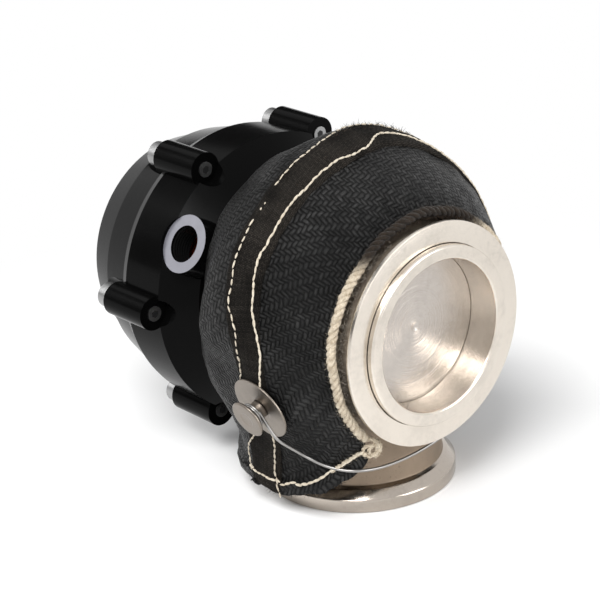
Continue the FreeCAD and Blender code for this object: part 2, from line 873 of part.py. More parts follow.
def make_upper_cap():
    """Cap with ears, flutes behind them for the screw heads, a groove line and a top port."""
    step = S.cap_groove_step
    base = reach(S.parting_reach)
    body = turned("upper_cap", [
        (0, base),
        (S.cap_rim_radius, base),
        (S.cap_rim_radius, base + S.cap_rim),
        (S.cap_shoulder_radius, base + S.cap_shoulder_height),
        (S.cap_groove_radius, base + S.cap_groove_height),
        (S.cap_groove_radius - step, base + S.cap_groove_height + step),
        (S.cap_end_radius, reach(CAP_END - S.cap_end_chamfer)),
        (S.cap_end_radius - S.cap_end_chamfer, reach(CAP_END)),
        (0, reach(CAP_END)),
    ], roll=HOUSING_ROLL)
    sketch = new_sketch(body, "ear_outline", "XY_Plane", base)
    draw_circle(sketch, 0, S.screw_pitch_radius, S.ear_radius)
    ear = extrude(body, "ear", sketch, S.ear_height_cap)
    repeat_round(body, "ears", ear, S.ear_count)
    seat = S.parting_reach + S.ear_height_cap
    drilled(body, "flute", S.screw_pitch_radius, S.flute_radius,
            reach(seat), CAP_END - seat, S.ear_count)
    inner_end = reach(CAP_END - S.cap_end_thickness)
    revolve(body, "spring_chamber", [
        (0, base - S.cut_over),
        (S.cap_inner_radius, base - S.cut_over),
        (S.cap_inner_radius, base + S.cap_bore_depth),
        (S.cap_inner_end_radius, inner_end),
        (0, inner_end),
    ], cut=True)
    drilled(body, "screw_clearance", S.screw_pitch_radius, S.bolt_radius + S.bolt_clearance,
            base - S.cut_over, S.ear_height_cap + 2 * S.cut_over, S.ear_count)
    sketch = new_sketch(body, "top_port_outline", "XY_Plane", inner_end - S.cut_over)
    draw_circle(sketch, 0, 0, S.cap_port_radius)
    extrude(body, "top_port", sketch, S.cap_end_thickness + 2 * S.cut_over,
            cut=True, reverse=True)


def make_socket_screw(label, angle, pitch, seat, head_height, length):
    """Socket screw with its head behind the seat and its shank in front of it."""
    head = cylinder(label + "_head", S.bolt_head_radius, head_height)
    on_valve_axis(head, angle, pitch, seat)
    shank = cylinder(label + "_shank", S.bolt_radius, length)
    on_valve_axis(shank, angle, pitch, seat - length)
    socket = doc.addObject("Part::Prism", label + "_socket")
    socket.Polygon = 6
    bind(socket, "Circumradius", S.hex_radius)
    bind(socket, "Height", S.hex_depth + S.cut_over)
    on_valve_axis(socket, angle, pitch, seat + head_height - S.hex_depth)
    blank = combined("MultiFuse", label + "_blank", [head, shank])
    return combined("Cut", label, (blank, socket))


def make_screw_set(label, count, pitch, seat, head_height, length):
    """A ring of alike screws, each a solid of its own."""
    screws = []
    for index in range(round(count.value)):
        angle = FIRST_EAR + 360.0 * index / round(count.value)
        screws.append(make_socket_screw("%s_%d" % (label, index + 1), angle, pitch, seat,
                                        head_height, length))
    group(label, screws)


# Blanket

def bulge(label, depth, beyond=None):
    """Main blanket form at a depth below its outer face, flattened where the lacing pulls it."""
    collar = S.collar_radius - depth
    steps = [
        (0, front(S.collar_front)),
        (collar, front(S.collar_front)),
    ]
    if beyond is not None:
        steps = [
            (0, front(S.collar_front + beyond)),
            (collar, front(S.collar_front + beyond)),
            (collar, front(S.collar_front)),
        ]
    steps += [
        (S.cone_radius - depth, front(S.cone_front)),
        (S.shoulder_radius - depth, reach(S.shoulder_reach), ("up", reach(S.crown_reach)), "left"),
        (S.flank_radius - depth, reach(S.flank_reach)),
        (S.rear_round_radius, reach(S.rear_reach - depth), ("up", reach(S.flank_reach)), "left"),
        (0, reach(S.rear_reach - depth)),
    ]
    form = turned(label + "_turn", steps, False)
    flats = []
    for side, name in SIDES:
        flat = cylinder("%s_%s_flat" % (label, name), S.cone_radius, S.flat_cut)
        on_anchor_axis(flat, side, S.anchor_seat - depth)
        flats.append(flat)
    flat_pair = combined("MultiFuse", label + "_flats", flats)
    return combined("Cut", label, (form, flat_pair))


def skirt(label, depth, hem):
    """Blanket form round the outlet neck, cut off in front of the actuator."""
    round_form = standing(label + "_round", [
        (0, hem),
        (S.skirt_radius - depth, hem),
        (S.skirt_radius - depth, S.axis_height),
        (0, S.axis_height),
    ])
    behind = box(label + "_behind", S.skirt_radius * 2, S.skirt_radius, S.axis_height * 2)
    bind(behind, "Placement.Base.x", 0.0 - S.skirt_radius)
    bind(behind, "Placement.Base.y", S.skirt_back - depth)
    bind(behind, "Placement.Base.z", 0.0 - S.axis_height / 2)
    return combined("Cut", label, (round_form, behind))


def core(label, grow, start, end, bottom):
    """Outside of the cast body grown by a clearance, as one form."""
    barrel = turned(label + "_barrel", barrel_steps(grow, start, end), False)
    neck = standing(label + "_neck", [
        (0, bottom),
        (S.outlet_neck_radius + grow, bottom),
        (S.outlet_neck_radius + grow, S.axis_height),
        (0, S.axis_height),
    ])
    return combined("MultiFuse", label, [barrel, neck])


def cutters(label, pin_radius=None):
    """What every blanket layer is open for: the front gap, the port boss and the anchor pins."""
    gap = box(label + "_front_gap", S.opening_half_width * 2, S.axis_height, S.axis_height)
    bind(gap, "Placement.Base.x", 0.0 - S.opening_half_width)
    bind(gap, "Placement.Base.y", 0.0 - S.opening_depth - S.axis_height)
    notch = cylinder(label + "_port_notch", S.port_face_radius + S.port_notch, S.port_face)
    turn = math.radians(S.port_angle.value)
    direction = FreeCAD.Vector(math.cos(turn), 0, math.sin(turn))
    notch.Placement.Rotation = FreeCAD.Rotation(UP, direction)
    bind(notch, "Placement.Base.x", S.port_root * math.cos(turn))
    bind(notch, "Placement.Base.y", S.port_reach)
    bind(notch, "Placement.Base.z", S.axis_height + S.port_root * math.sin(turn))
    return [gap, notch] + (pin_holes(label, pin_radius) if pin_radius else [])


def pin_holes(label, radius):
    """Holes for the two anchor pins."""
    holes = []
    for side, name in SIDES:
        hole = cylinder("%s_%s_pin_hole" % (label, name), radius, S.anchor_pin_length * 2)
        on_anchor_axis(hole, side, S.anchor_seat - S.anchor_pin_length)
        holes.append(hole)
    return holes


def make_blanket():
    """Three layers: woven outer shell, insulation wadding and inner liner."""
    pin_room = S.anchor_pin_radius + S.layer_gap
    clip_room = S.anchor_clip_radius + S.layer_gap
    under_skin = S.skin + S.layer_gap
    rear_hole = cylinder("rear_hole", S.rear_hole_radius, S.rear_reach)
    on_valve_axis(rear_hole, 0.0, 0.0, S.flank_reach)
    outside = combined("MultiFuse", "shell_outside",
                       [bulge("shell_bulge", 0.0), skirt("shell_skirt", 0.0, S.skirt_hem)])
    room = combined("MultiFuse", "shell_inside", [
        bulge("shell_bulge_inside", S.skin, S.cut_over),
        skirt("shell_skirt_inside", S.skin, 0.0 - S.cut_over),
        rear_hole] + cutters("shell", pin_room))
    combined("Cut", "blanket_outer", (outside, room), node=True)

    outside = combined("MultiFuse", "batting_outside", [
        bulge("batting_bulge", under_skin), skirt("batting_skirt", under_skin, S.batting_hem)])
    liner_out = S.fit_gap + S.liner
    housing_room = cylinder("housing_room", S.rear_hole_radius, S.rear_reach)
    on_valve_axis(housing_room, 0.0, 0.0, FOOT - S.layer_gap)
    room = combined("MultiFuse", "batting_inside", [
        core("batting_core", liner_out + S.layer_gap, front(S.inlet_front), reach(S.rear_reach),
             0.0), housing_room] + cutters("batting", clip_room))
    combined("Cut", "blanket_batting", (outside, room), node=True)

    outside = core("liner_outside", liner_out, front(S.liner_front), reach(S.liner_end),
                   S.batting_hem)
    isolator_room = cylinder("isolator_room", S.isolator_radius + S.fit_gap, S.rear_reach)
    on_valve_axis(isolator_room, 0.0, 0.0, S.liner_end)
    room = combined("MultiFuse", "liner_inside", [
        core("liner_core", S.fit_gap, front(S.inlet_front), reach(S.rear_reach), 0.0),
        isolator_room] + cutters("liner"))
    combined("Cut", "blanket_liner", (outside, room), node=True)


def make_edge_trim():
    """Twisted cord sewn round the inlet collar, and the seam tape over the crown."""
    edge_cord = doc.addObject("Part::Torus", "inlet_edge_cord")
    edge_cord.Label = "inlet_edge_cord"
    bind(edge_cord, "Radius1", S.edge_cord_ring)
    bind(edge_cord, "Radius2", S.edge_cord_radius)
    bind(edge_cord, "Angle3", S.edge_cord_angle)
    cord_reach = 0.0 - S.collar_front - S.edge_cord_radius - S.tape_gap
    on_valve_axis(edge_cord, 0.0, 0.0, cord_reach, over_top(S.edge_cord_angle))
    NODES.append(edge_cord)
    sector = cylinder("tape_sector", S.cone_radius * 2, S.tape_width)
    bind(sector, "Angle", S.tape_angle)
    on_valve_axis(sector, 0.0, 0.0, S.tape_back - S.tape_width, over_top(S.tape_angle))
    band = combined("Cut", "tape_band", (
        bulge("tape_outside", 0.0 - S.tape_thickness - S.tape_gap),
        bulge("tape_inside", 0.0 - S.tape_gap, S.cut_over)))
    strip = combined("MultiCommon", "tape_strip", [band, sector])
    holes = combined("MultiFuse", "tape_pin_holes",
                     pin_holes("tape", S.anchor_pin_radius + S.layer_gap))
    combined("Cut", "seam_tape", (strip, holes), node=True)


# Lacing

WASHER_START = S.anchor_seat + S.tape_thickness + S.tape_gap * 2
SPOOL_START = WASHER_START + S.anchor_base_thickness
CAP_START = SPOOL_START + S.anchor_spool_height


def make_anchors():
    """Two lacing anchors, each with a pin, spool and cap, a washer outside and a clip inside."""
    anchors, washers, clips, wraps = [], [], [], []
    for side, name in SIDES:
        pin = cylinder(name + "_pin", S.anchor_pin_radius, S.anchor_pin_length)
        on_anchor_axis(pin, side, SPOOL_START - S.anchor_pin_length)
        spool = cylinder(name + "_spool", S.anchor_spool_radius, S.anchor_spool_height)
        on_anchor_axis(spool, side, SPOOL_START)
        cap = cylinder(name + "_cap", S.anchor_cap_radius, S.anchor_cap_thickness)
        on_anchor_axis(cap, side, CAP_START)
        anchors.append(combined("MultiFuse", name + "_anchor", [pin, spool, cap]))
        washers.append(drilled_disc(name + "_washer", side, S.anchor_base_radius,
                                    S.anchor_base_thickness, WASHER_START))
        clips.append(drilled_disc(name + "_clip", side, S.anchor_clip_radius,
                                  S.anchor_clip_thickness,
                                  S.anchor_seat - S.skin - S.anchor_clip_sink - S.anchor_clip_thickness))
        for turn in range(2):
            wrap = doc.addObject("Part::Torus", "%s_wrap_%d" % (name, turn + 1))
            bind(wrap, "Radius1", S.anchor_spool_radius + S.lacing_radius + S.tape_gap)
            bind(wrap, "Radius2", S.lacing_radius)
            on_anchor_axis(wrap, side, SPOOL_START + S.anchor_spool_height * (0.5 + 0.3 * turn))
            wraps.append(wrap)
    group("lacing_anchors", anchors)
    group("anchor_washers", washers)
    group("anchor_clips", clips)
    group("lacing_wraps", wraps)


def drilled_disc(label, side, radius, thickness, start):
    """A disc on an anchor's axis with a hole for its pin."""
    disc = cylinder(label + "_disc", radius, thickness)
    on_anchor_axis(disc, side, start)
    hole = cylinder(label + "_hole", S.anchor_pin_radius + S.tape_gap, thickness + 2 * S.cut_over)
    on_anchor_axis(hole, side, start - S.cut_over)
    return combined("Cut", label, (disc, hole))


def lacing_point(angle, outside, drop):
    """One point of the wire's route, placed by the skirt and the valve axis."""
    radius = S.skirt_radius.value + outside
    turn = math.radians(angle)
    return FreeCAD.Vector(radius * math.cos(turn), radius * math.sin(turn),
                          S.axis_height.value - drop)


def tangent_arc(before, corner, after):
    """The arc that rounds a corner of a route, with its two ends and its radius."""
    back, ahead = before - corner, after - corner
    turn = math.pi - back.getAngle(ahead)
    trim = ARC_SHARE * min(back.Length, ahead.Length)
    radius = trim / math.tan(turn / 2)
    start = corner + back.normalize() * trim
    end = corner + ahead.normalize() * trim
    middle_way = (start + end) * 0.5 - corner
    centre_distance = math.hypot(trim, radius)
    middle = corner + middle_way.normalize() * (centre_distance - radius)
    return start, middle, end, radius


def route_wire(points):
    """Straight runs joined by tangent arcs through a list of points."""
    edges, last = [], points[0]
    for index in range(1, len(points) - 1):
        start, middle, end, radius = tangent_arc(*points[index - 1:index + 2])
        print("lacing arc %d radius %.1f mm" % (index, radius))
        edges.append(Part.LineSegment(last, start).toShape())
        edges.append(Part.Arc(start, middle, end).toShape())
        last = end
    edges.append(Part.LineSegment(last, points[-1]).toShape())
    return Part.Wire(edges)


def make_lacing_wire():
    """The wire drawn tight from one anchor, round the skirt and across the neck, to the other."""
    half = [lacing_point(*place) for place in LACING_HALF]
    mirrored = [FreeCAD.Vector(-point.x, point.y, point.z) for point in reversed(half)]
    path = route_wire(half + mirrored)
    first = path.Edges[0]
    radius = S.lacing_radius.value
    section = Part.Wire(Part.Circle(half[0], first.tangentAt(first.FirstParameter), radius).toShape())
    tube = path.makePipeShell([section], True, True)
    expected = math.pi * radius ** 2 * path.Length
    print("lacing length %.1f mm, volume %.2f of %.2f" % (path.Length, tube.Volume, expected))
    wire = doc.addObject("Part::Feature", "lacing_wire")
    wire.Label = "lacing_wire"
    wire.Shape = tube
    NODES.append(wire)


# Whole object

def build_all():
    """Every piece, from the inlet to the cap and then the blanket."""
    make_seat_ring()
    make_valve()
    make_stem_guide()
    make_valve_body()
    make_isolator()
    make_screw_set("body_bolts", S.body_bolt_count, S.body_bolt_pitch, FLOOR,
                   S.low_head_height, S.body_bolt_length)
    make_lower_housing()
    make_bush_and_seal()
    make_diaphragm()
    make_piston()
    make_spring("outer_spring", S.outer_spring_radius, S.outer_wire_radius, S.outer_turns)
    make_spring("inner_spring", S.inner_spring_radius, S.inner_wire_radius, S.inner_turns)
    make_upper_cap()
    make_screw_set("housing_screws", S.ear_count, S.screw_pitch_radius,
                   S.parting_reach + S.ear_height_cap, S.bolt_head_height, S.screw_length)
    make_blanket()
    make_edge_trim()
    make_anchors()
    make_lacing_wire()


def check_and_export():
    """Stop at any failed feature or empty piece, then write one file per piece."""
    doc.recompute()
    failed = [item.Name for item in doc.Objects if {"Invalid", "Error"} & set(item.State)]
    if failed:
        raise RuntimeError("failed features: " + ", ".join(failed))
    for node in NODES:
        if node.Shape.isNull() or not node.Shape.isValid() or node.Shape.Volume <= 0:
            raise RuntimeError("bad shape: " + node.Label)
    os.makedirs("parts", exist_ok=True)
    for node in NODES:
        node.Shape.exportStep("parts/%s.step" % node.Label)
        print("%-18s %d solids %10.1f mm3" % (node.Label, len(node.Shape.Solids), node.Shape.Volume))


build_all()
check_and_export()
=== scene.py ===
import math

import bmesh
import bpy
import numpy as np
from mathutils import Matrix, Vector


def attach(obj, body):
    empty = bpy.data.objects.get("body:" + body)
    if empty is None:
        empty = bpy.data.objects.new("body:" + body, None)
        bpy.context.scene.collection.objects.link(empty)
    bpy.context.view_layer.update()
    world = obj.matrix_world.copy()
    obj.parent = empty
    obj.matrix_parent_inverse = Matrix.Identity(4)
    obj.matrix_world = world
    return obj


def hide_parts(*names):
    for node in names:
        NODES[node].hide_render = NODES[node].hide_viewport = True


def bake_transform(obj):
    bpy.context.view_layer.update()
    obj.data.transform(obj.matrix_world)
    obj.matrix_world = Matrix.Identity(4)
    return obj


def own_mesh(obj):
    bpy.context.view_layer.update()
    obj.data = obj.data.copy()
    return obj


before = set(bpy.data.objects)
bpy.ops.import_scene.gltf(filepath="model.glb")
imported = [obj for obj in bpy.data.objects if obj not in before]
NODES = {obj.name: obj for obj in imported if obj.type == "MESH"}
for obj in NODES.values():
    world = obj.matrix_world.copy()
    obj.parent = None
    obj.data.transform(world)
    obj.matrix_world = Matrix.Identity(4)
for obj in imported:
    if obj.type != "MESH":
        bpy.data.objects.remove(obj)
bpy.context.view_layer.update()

# Lengths are in millimetres until a mesh is made, and in metres from there on.
MM = 0.001
AXIS_HEIGHT = 69.8
BODY = "gate_body"
TRAIN = "valve_train"


# Node trees

def feed(tree, socket, value):
    """Link a value to a socket, or set the socket to a plain one."""
    value = getattr(value, "socket", value)
    if isinstance(value, bpy.types.NodeSocket):
        tree.links.new(value, socket)
    else:
        socket.default_value = value


def add_node(tree, kind, settings=None, inputs=None):
    """Any node: its settings first, then the values or links of its sockets."""
    node = tree.nodes.new(kind)
    for key, value in (settings or {}).items():
        setattr(node, key, value)
    for key, value in (inputs or {}).items():
        feed(tree, node.inputs[key], value)
    return node


def operator(operation, swapped=False):
    """What a Python operator does with a Value: one Math node."""
    def work(self, other):
        pair = (other, self) if swapped else (self, other)
        return self.shading.math(operation, *pair)
    return work


class Value:
    """A number in a shader. Python's operators add the Math nodes that work it out."""

    def __init__(self, shading, socket):
        self.shading = shading
        self.socket = socket

    __add__ = __radd__ = operator("ADD")
    __sub__ = operator("SUBTRACT")
    __rsub__ = operator("SUBTRACT", swapped=True)
    __mul__ = __rmul__ = operator("MULTIPLY")
    __truediv__ = operator("DIVIDE")
    __rtruediv__ = operator("DIVIDE", swapped=True)
    __mod__ = operator("FLOORED_MODULO")
    __rmod__ = operator("FLOORED_MODULO", swapped=True)
    __pow__ = operator("POWER")
    __rpow__ = operator("POWER", swapped=True)
    __gt__ = operator("GREATER_THAN")
    __lt__ = operator("LESS_THAN")


class Shading:
    """A shader tree of a material or of the world, in the making."""

    def __init__(self, tree):
        self.tree = tree

    def node(self, kind, settings=None, inputs=None):
        return add_node(self.tree, "ShaderNode" + kind, settings, inputs)

    def out(self, node, name=0):
        return Value(self, node.outputs[name])

    def math(self, operation, *values):
        node = self.node("Math", {"operation": operation}, dict(enumerate(values)))
        return self.out(node)

    def smooth(self, value, low, high):
        """0 below low, 1 above high and an easy curve between."""
        node = self.node("MapRange", {"interpolation_type": "SMOOTHSTEP"},
                         {"Value": value, "From Min": low, "From Max": high})
        return self.out(node)

    def mix(self, factor, first, second):
        """One colour over another."""
        node = self.node("Mix", {"data_type": "RGBA"}, {0: factor, 6: first, 7: second})
        return self.out(node, 2)

    def place(self):
        """Object coordinates in millimetres."""
        coords = self.out(self.node("TexCoord"), "Object")
        return self.out(self.node("Mapping", {}, {"Vector": coords, "Scale": [1 / MM] * 3}))

    def noise(self, scale, detail=3.0, rough=0.5, where=None):
        """Noise with features of about 1 / scale millimetres."""
        where = self.place() if where is None else where
        node = self.node("TexNoise", {}, {"Vector": where, "Scale": scale, "Detail": detail,
                                          "Roughness": rough})
        return self.out(node, "Fac")

    def parts(self, vector):
        """X, Y and Z of a vector."""
        node = self.node("SeparateXYZ", {}, {0: vector})
        return [self.out(node, axis) for axis in range(3)]

    def joined(self, x, y, z):
        return self.out(self.node("CombineXYZ", {}, {0: x, 1: y, 2: z}))

    def away(self, first, second):
        """Distance from zero of two coordinates."""
        return self.math("SQRT", first * first + second * second)

    def seen(self):
        """1 for the rays that look at a backdrop, straight or by way of metal or glass."""
        path = self.node("LightPath")
        camera, gloss, glass = (self.out(path, "Is %s Ray" % kind)
                                for kind in ("Camera", "Glossy", "Transmission"))
        return self.math("MAXIMUM", self.math("MAXIMUM", camera, gloss), glass)

    def end(self, output, factor, first, second):
        """Mix two shaders into the tree's output."""
        both = self.node("MixShader", {}, {0: factor, 1: first.outputs[0], 2: second.outputs[0]})
        feed(self.tree, output.inputs["Surface"], both.outputs[0])


class Finish(Shading):
    """A material with a Principled shader and the nodes that feed it."""

    def __init__(self, name, **constants):
        self.material = bpy.data.materials.new(name)
        self.material.use_nodes = True
        super().__init__(self.material.node_tree)
        self.shader = self.tree.nodes["Principled BSDF"]
        self.set(**constants)

    def set(self, **values):
        for key, value in values.items():
            feed(self.tree, self.shader.inputs[key.replace("_", " ")], value)

    def bump(self, height, distance, strength=1.0):
        """A relief of this many metres."""
        node = self.node("Bump", {}, {"Height": height, "Distance": distance,
                                      "Strength": strength})
        self.set(Normal=node.outputs[0])


def grey(level, warm=0.0):
    """A grey, warmer where asked."""
    return (level * (1 + warm), level, level * (1 - warm), 1.0)


def darker(colour, share):
    """A colour at this share of its strength."""
    return [c * share for c in colour[:3]] + [1]


def turned_metal(name, colour, roughness, axis="Y", grooves=9.0, relief=0.00001):
    """Metal with the fine rings that a lathe leaves round one axis."""
    finish = Finish(name, Metallic=1.0)
    x, y, z = finish.parts(finish.place())
    across, along = (finish.away(x, z - AXIS_HEIGHT), y) if axis == "Y" else (finish.away(x, y), z)
    rings = finish.noise(grooves, 2.0, 0.7, finish.joined(across, along, 0.0))
    blotch = finish.noise(0.06, 3.0)
    stain = finish.noise(0.45, 6.0, 0.7)
    tone = finish.smooth(0.5 * blotch + 0.5 * stain, 0.36, 0.56)
    finish.set(Base_Color=finish.mix(tone, darker(colour, 0.9), colour),
               Roughness=roughness + 0.12 * (rings - 0.5) + 0.16 * (blotch - 0.5))
    finish.bump(rings, relief, 0.7)
    return finish.material


def cast_metal(name, colour):
    """Bead-blasted casting, pitted and slightly mottled."""
    finish = Finish(name, Metallic=0.9)
    grain = finish.noise(2.4, 4.0, 0.65)
    blotch = finish.noise(0.11, 3.0)
    pits = finish.smooth(finish.noise(0.8, 2.0), 0.62, 0.72)
    base = finish.mix(blotch, darker(colour, 0.72), colour)
    finish.set(Base_Color=finish.mix(pits * 0.5, base, (0.16, 0.13, 0.10, 1)),
               Roughness=0.46 + 0.22 * grain)
    finish.bump(grain - pits, 0.00012, 0.6)
    return finish.material


def anodised(name, colour, roughness):
    """Machined and dyed black aluminium: gloss with faint tool rings."""
    finish = Finish(name, Metallic=0.0, Specular_IOR_Level=0.045)
    x, y, z = finish.parts(finish.place())
    across = finish.away(x, z - AXIS_HEIGHT)
    rings = finish.noise(5.0, 2.0, 0.7, finish.joined(across, y, 0.0))
    smear = finish.noise(0.05, 3.0)
    finish.set(Base_Color=colour, Roughness=roughness + 0.10 * (rings - 0.5) + 0.12 * (smear - 0.5))
    finish.bump(rings, 0.000006, 0.5)
    return finish.material


def plain(name, colour, roughness, metallic=0.0, grain=1.5, relief=0.00003):
    """A finish with a light grain and uneven tone."""
    finish = Finish(name, Metallic=metallic)
    fine = finish.noise(grain, 3.0)
    broad = finish.noise(grain * 0.08, 3.0)
    finish.set(Base_Color=finish.mix(broad, darker(colour, 0.7), colour),
               Roughness=roughness + 0.2 * (fine - 0.5))
    finish.bump(fine, relief, 0.6)
    return finish.material


def woven(name, colour, light, yarn, relief, roughness=0.62, fray=0.0, gloss=0.14):
    """Two-over-two twill of flat yarns. Its colour goes from colour in the gaps to light on
    the yarn crowns: painted shade and painted highlight. The UV map holds millimetres along the
    cloth.
    """
    finish = Finish(name, Specular_IOR_Level=gloss)
    uv = finish.out(finish.node("UVMap", {"uv_map": "cloth"}))
    u, v, _ = finish.parts(uv)
    wander = finish.noise(0.14, 2.0)
    ripple = finish.noise(0.5, 2.0)
    # Yarns counted in both directions, wandering a little, and the place within each
    cu = u / yarn + 1.6 * wander + 0.35 * ripple
    cv = v / yarn + 1.4 * wander - 0.35 * ripple
    iu, iv = finish.math("FLOOR", cu), finish.math("FLOOR", cv)
    fu, fv = cu - iu, cv - iv
    # Which yarn lies over, and the place along and across it
    step = (iu + iv) % 4.0
    over = step < 1.5
    along = over * ((step + fv) / 2.0) + (1 - over) * ((step - 2.0 + fu) / 2.0)
    across = over * fu + (1 - over) * fv
    crown = finish.math("SINE", across * math.pi) ** 0.55
    float_arch = finish.math("SINE", along * math.pi) ** 0.5
    height = crown * (0.35 + 0.65 * float_arch)
    along_yarn = over * v + (1 - over) * u
    across_yarn = over * u + (1 - over) * v
    threads = finish.noise(9.0, 2.0, 0.6, finish.joined(across_yarn, along_yarn * 0.12, 0.0))
    yarn_number = finish.joined(over * iu + (1 - over) * 91.0, over * 57.0 + (1 - over) * iv, 0.0)
    own_tone = finish.node("TexWhiteNoise", {"noise_dimensions": "2D"}, {"Vector": yarn_number})
    tone = finish.out(own_tone, "Value")
    # Broad patches of painted sheen: lighter colour there, and a little less rough
    painted_sheen_patches = finish.smooth(finish.noise(0.045, 3.0, 0.6), 0.38, 0.62)
    # Painted shade and highlight: yarn height makes the gaps dark and the crowns light, over each
    # yarn's own tone and thread streaks
    shade = height ** 1.6 * (0.35 + 0.65 * tone) * (0.5 + threads) * (0.45 + 0.75 * painted_sheen_patches)
    base = finish.mix(shade, colour, light)
    if fray:
        dust = finish.smooth(finish.noise(0.35, 4.0, 0.7), 0.60, 0.78)
        base = finish.mix(dust * fray, base, (0.20, 0.13, 0.08, 1))
    finish.set(Base_Color=base, Roughness=roughness - 0.26 * shade)
    finish.bump(height + 0.22 * threads, relief, 0.9)
    return finish.material


def fibrous(name, colour, dark, relief=0.0003, browned=None):
    """Loose glass fibre: fine streaks and clumps, scorched brown above the given heights."""
    finish = Finish(name, Sheen_Weight=0.12, Specular_IOR_Level=0.2)
    where = finish.place()
    clump = finish.noise(0.45, 4.0, 0.7, where)
    hair = finish.noise(3.5, 3.0, 0.7, where)
    tone = finish.smooth(clump * 0.5 + hair * 0.5, 0.3, 0.7)
    base = finish.mix(tone, dark, colour)
    if browned:
        height = finish.parts(where)[2] + 8.0 * (clump - 0.5)
        burnt = finish.mix(tone, (0.004, 0.003, 0.002, 1), (0.030, 0.020, 0.013, 1))
        base = finish.mix(finish.smooth(height, *browned), base, burnt)
    finish.set(Base_Color=base, Roughness=0.9)
    finish.bump(hair + clump, relief, 0.8)
    return finish.material


# Meshes

def add_object(name, data):
    """An object in the scene, at the origin."""
    thing = bpy.data.objects.new(name, data)
    bpy.context.scene.collection.objects.link(thing)
    return thing


def new_object(name, points, faces, material=None, body=BODY, edges=()):
    """A mesh object from points in millimetres."""
    mesh = bpy.data.meshes.new(name)
    mesh.from_pydata((np.asarray(points, float) * MM).tolist(), edges, faces)
    mesh.validate()
    thing = add_object(name, mesh)
    if material:
        mesh.materials.append(material)
    mesh.shade_smooth()
    if body:
        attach(thing, body)
    return thing


def sharpen(thing, angle=32.0):
    """Smooth shading that stops at edges over this angle."""
    thing.data.shade_smooth()
    thing.data.set_sharp_from_angle(angle=math.radians(angle))
    return thing


def dress(mesh, *materials):
    """Give a mesh its finishes."""
    mesh.materials.clear()
    for material in materials:
        mesh.materials.append(material)


def baked(thing):
    """Replace an object's mesh by what its modifiers make of it."""
    graph = bpy.context.evaluated_depsgraph_get()
    mesh = bpy.data.meshes.new_from_object(thing.evaluated_get(graph))
    thing.modifiers.clear()
    old = thing.data
    thing.data = mesh
    bpy.data.meshes.remove(old)


def eased(outline, radius):
    """A closed outline with each corner cut into a small three-step round."""
    points = [np.array(p, float) for p in outline]
    result = []
    for index, corner in enumerate(points):
        before, after = points[index - 1], points[(index + 1) % len(points)]
        back, ahead = before - corner, after - corner
        size = min(radius, 0.4 * np.linalg.norm(back), 0.4 * np.linalg.norm(ahead))
        if corner[0] < 1e-6 or size < 1e-4:
            result.append(corner)
            continue
        start = corner + back / np.linalg.norm(back) * size
        end = corner + ahead / np.linalg.norm(ahead) * size
        for t in (0.0, 0.33, 0.67, 1.0):
            result.append((1 - t) ** 2 * start + 2 * t * (1 - t) * corner + t * t * end)
    return result


VALVE_AXIS = ((0.0, 0.0, AXIS_HEIGHT), (0.0, 1.0, 0.0))
OUTLET_AXIS = ((0.0, 0.0, 0.0), (0.0, 0.0, 1.0))
PORT_AXIS = ((0.0, 39.6, AXIS_HEIGHT),
             (math.cos(math.radians(150)), 0.0, math.sin(math.radians(150))))
SPOT_FACE_REACH = 55.5
SPOT_FACE_RADIUS = 11.4


def frame_on(axis):
    """Foot, direction and two cross directions of an axis."""
    foot, way = (np.array(v, float) for v in axis)
    helper = np.array([1.0, 0, 0]) if abs(way[0]) < 0.8 else np.array([0, 0, 1.0])
    across = np.cross(way, helper)
    across /= np.linalg.norm(across)
    return foot, way, across, np.cross(way, across)


def lathe(name, outline, material=None, axis=VALVE_AXIS, segments=160, ease=0.25, body=BODY):
    """Turn a closed outline of (radius, along) about an axis."""
    foot, way, across, upward = frame_on(axis)
    ring = np.array(eased(outline, ease))
    points, count = [], len(ring)
    for index in range(segments):
        turn = 2 * math.pi * index / segments
        out = math.cos(turn) * across + math.sin(turn) * upward
        points.append(foot + ring[:, :1] * out + ring[:, 1:] * way)
    faces = loop_faces(segments, count, "wrapped")
    thing = new_object(name, np.vstack(points), faces, material, body)
    tidy_mesh(thing)
    return sharpen(thing)


def heading(path):
    """Unit direction of a path at each of its points."""
    ahead = np.gradient(path, axis=0)
    return ahead / np.linalg.norm(ahead, axis=1, keepdims=True)


def loop_faces(rings, count, ends="capped"):
    """Quads between rings of points, where point p of ring r has the index r * count + p.

    The ends are open, capped, or wrapped so that the last ring meets the first.
    """
    faces = []
    for ring in range(rings if ends == "wrapped" else rings - 1):
        here, there = ring * count, (ring + 1) % rings * count
        for step in range(count):
            follow = (step + 1) % count
            faces.append((here + step, here + follow, there + follow, there + step))
    if ends == "capped":
        faces.append(tuple(reversed(range(count))))
        faces.append(tuple((rings - 1) * count + step for step in range(count)))
    return faces


def run_length(path):
    """Length of a path up to each of its points."""
    return np.concatenate([[0], np.cumsum(np.linalg.norm(np.diff(path, axis=0), axis=1))])


def read_at(where, length, path):
    """A path's values at given lengths along it."""
    return np.stack([np.interp(where, length, column) for column in path.T], axis=1)


def tube_parts(path, radius, sides):
    """Points and faces of a closed tube along a path, with one radius or one for each point."""
    path = np.asarray(path, float)
    radius = np.broadcast_to(radius, len(path))
    ahead = heading(path)
    across = np.zeros_like(path)
    helper = np.array([0.3, 0.2, 0.93])
    for index, way in enumerate(ahead):
        helper = helper - way * (helper @ way)
        helper /= np.linalg.norm(helper)
        across[index] = helper
    beside = np.cross(ahead, across)
    turns = np.linspace(0, 2 * math.pi, sides, endpoint=False)
    points = (path[:, None] + radius[:, None, None]
              * (np.cos(turns)[None, :, None] * across[:, None]
                 + np.sin(turns)[None, :, None] * beside[:, None]))
    return points.reshape(-1, 3), loop_faces(len(path), sides)


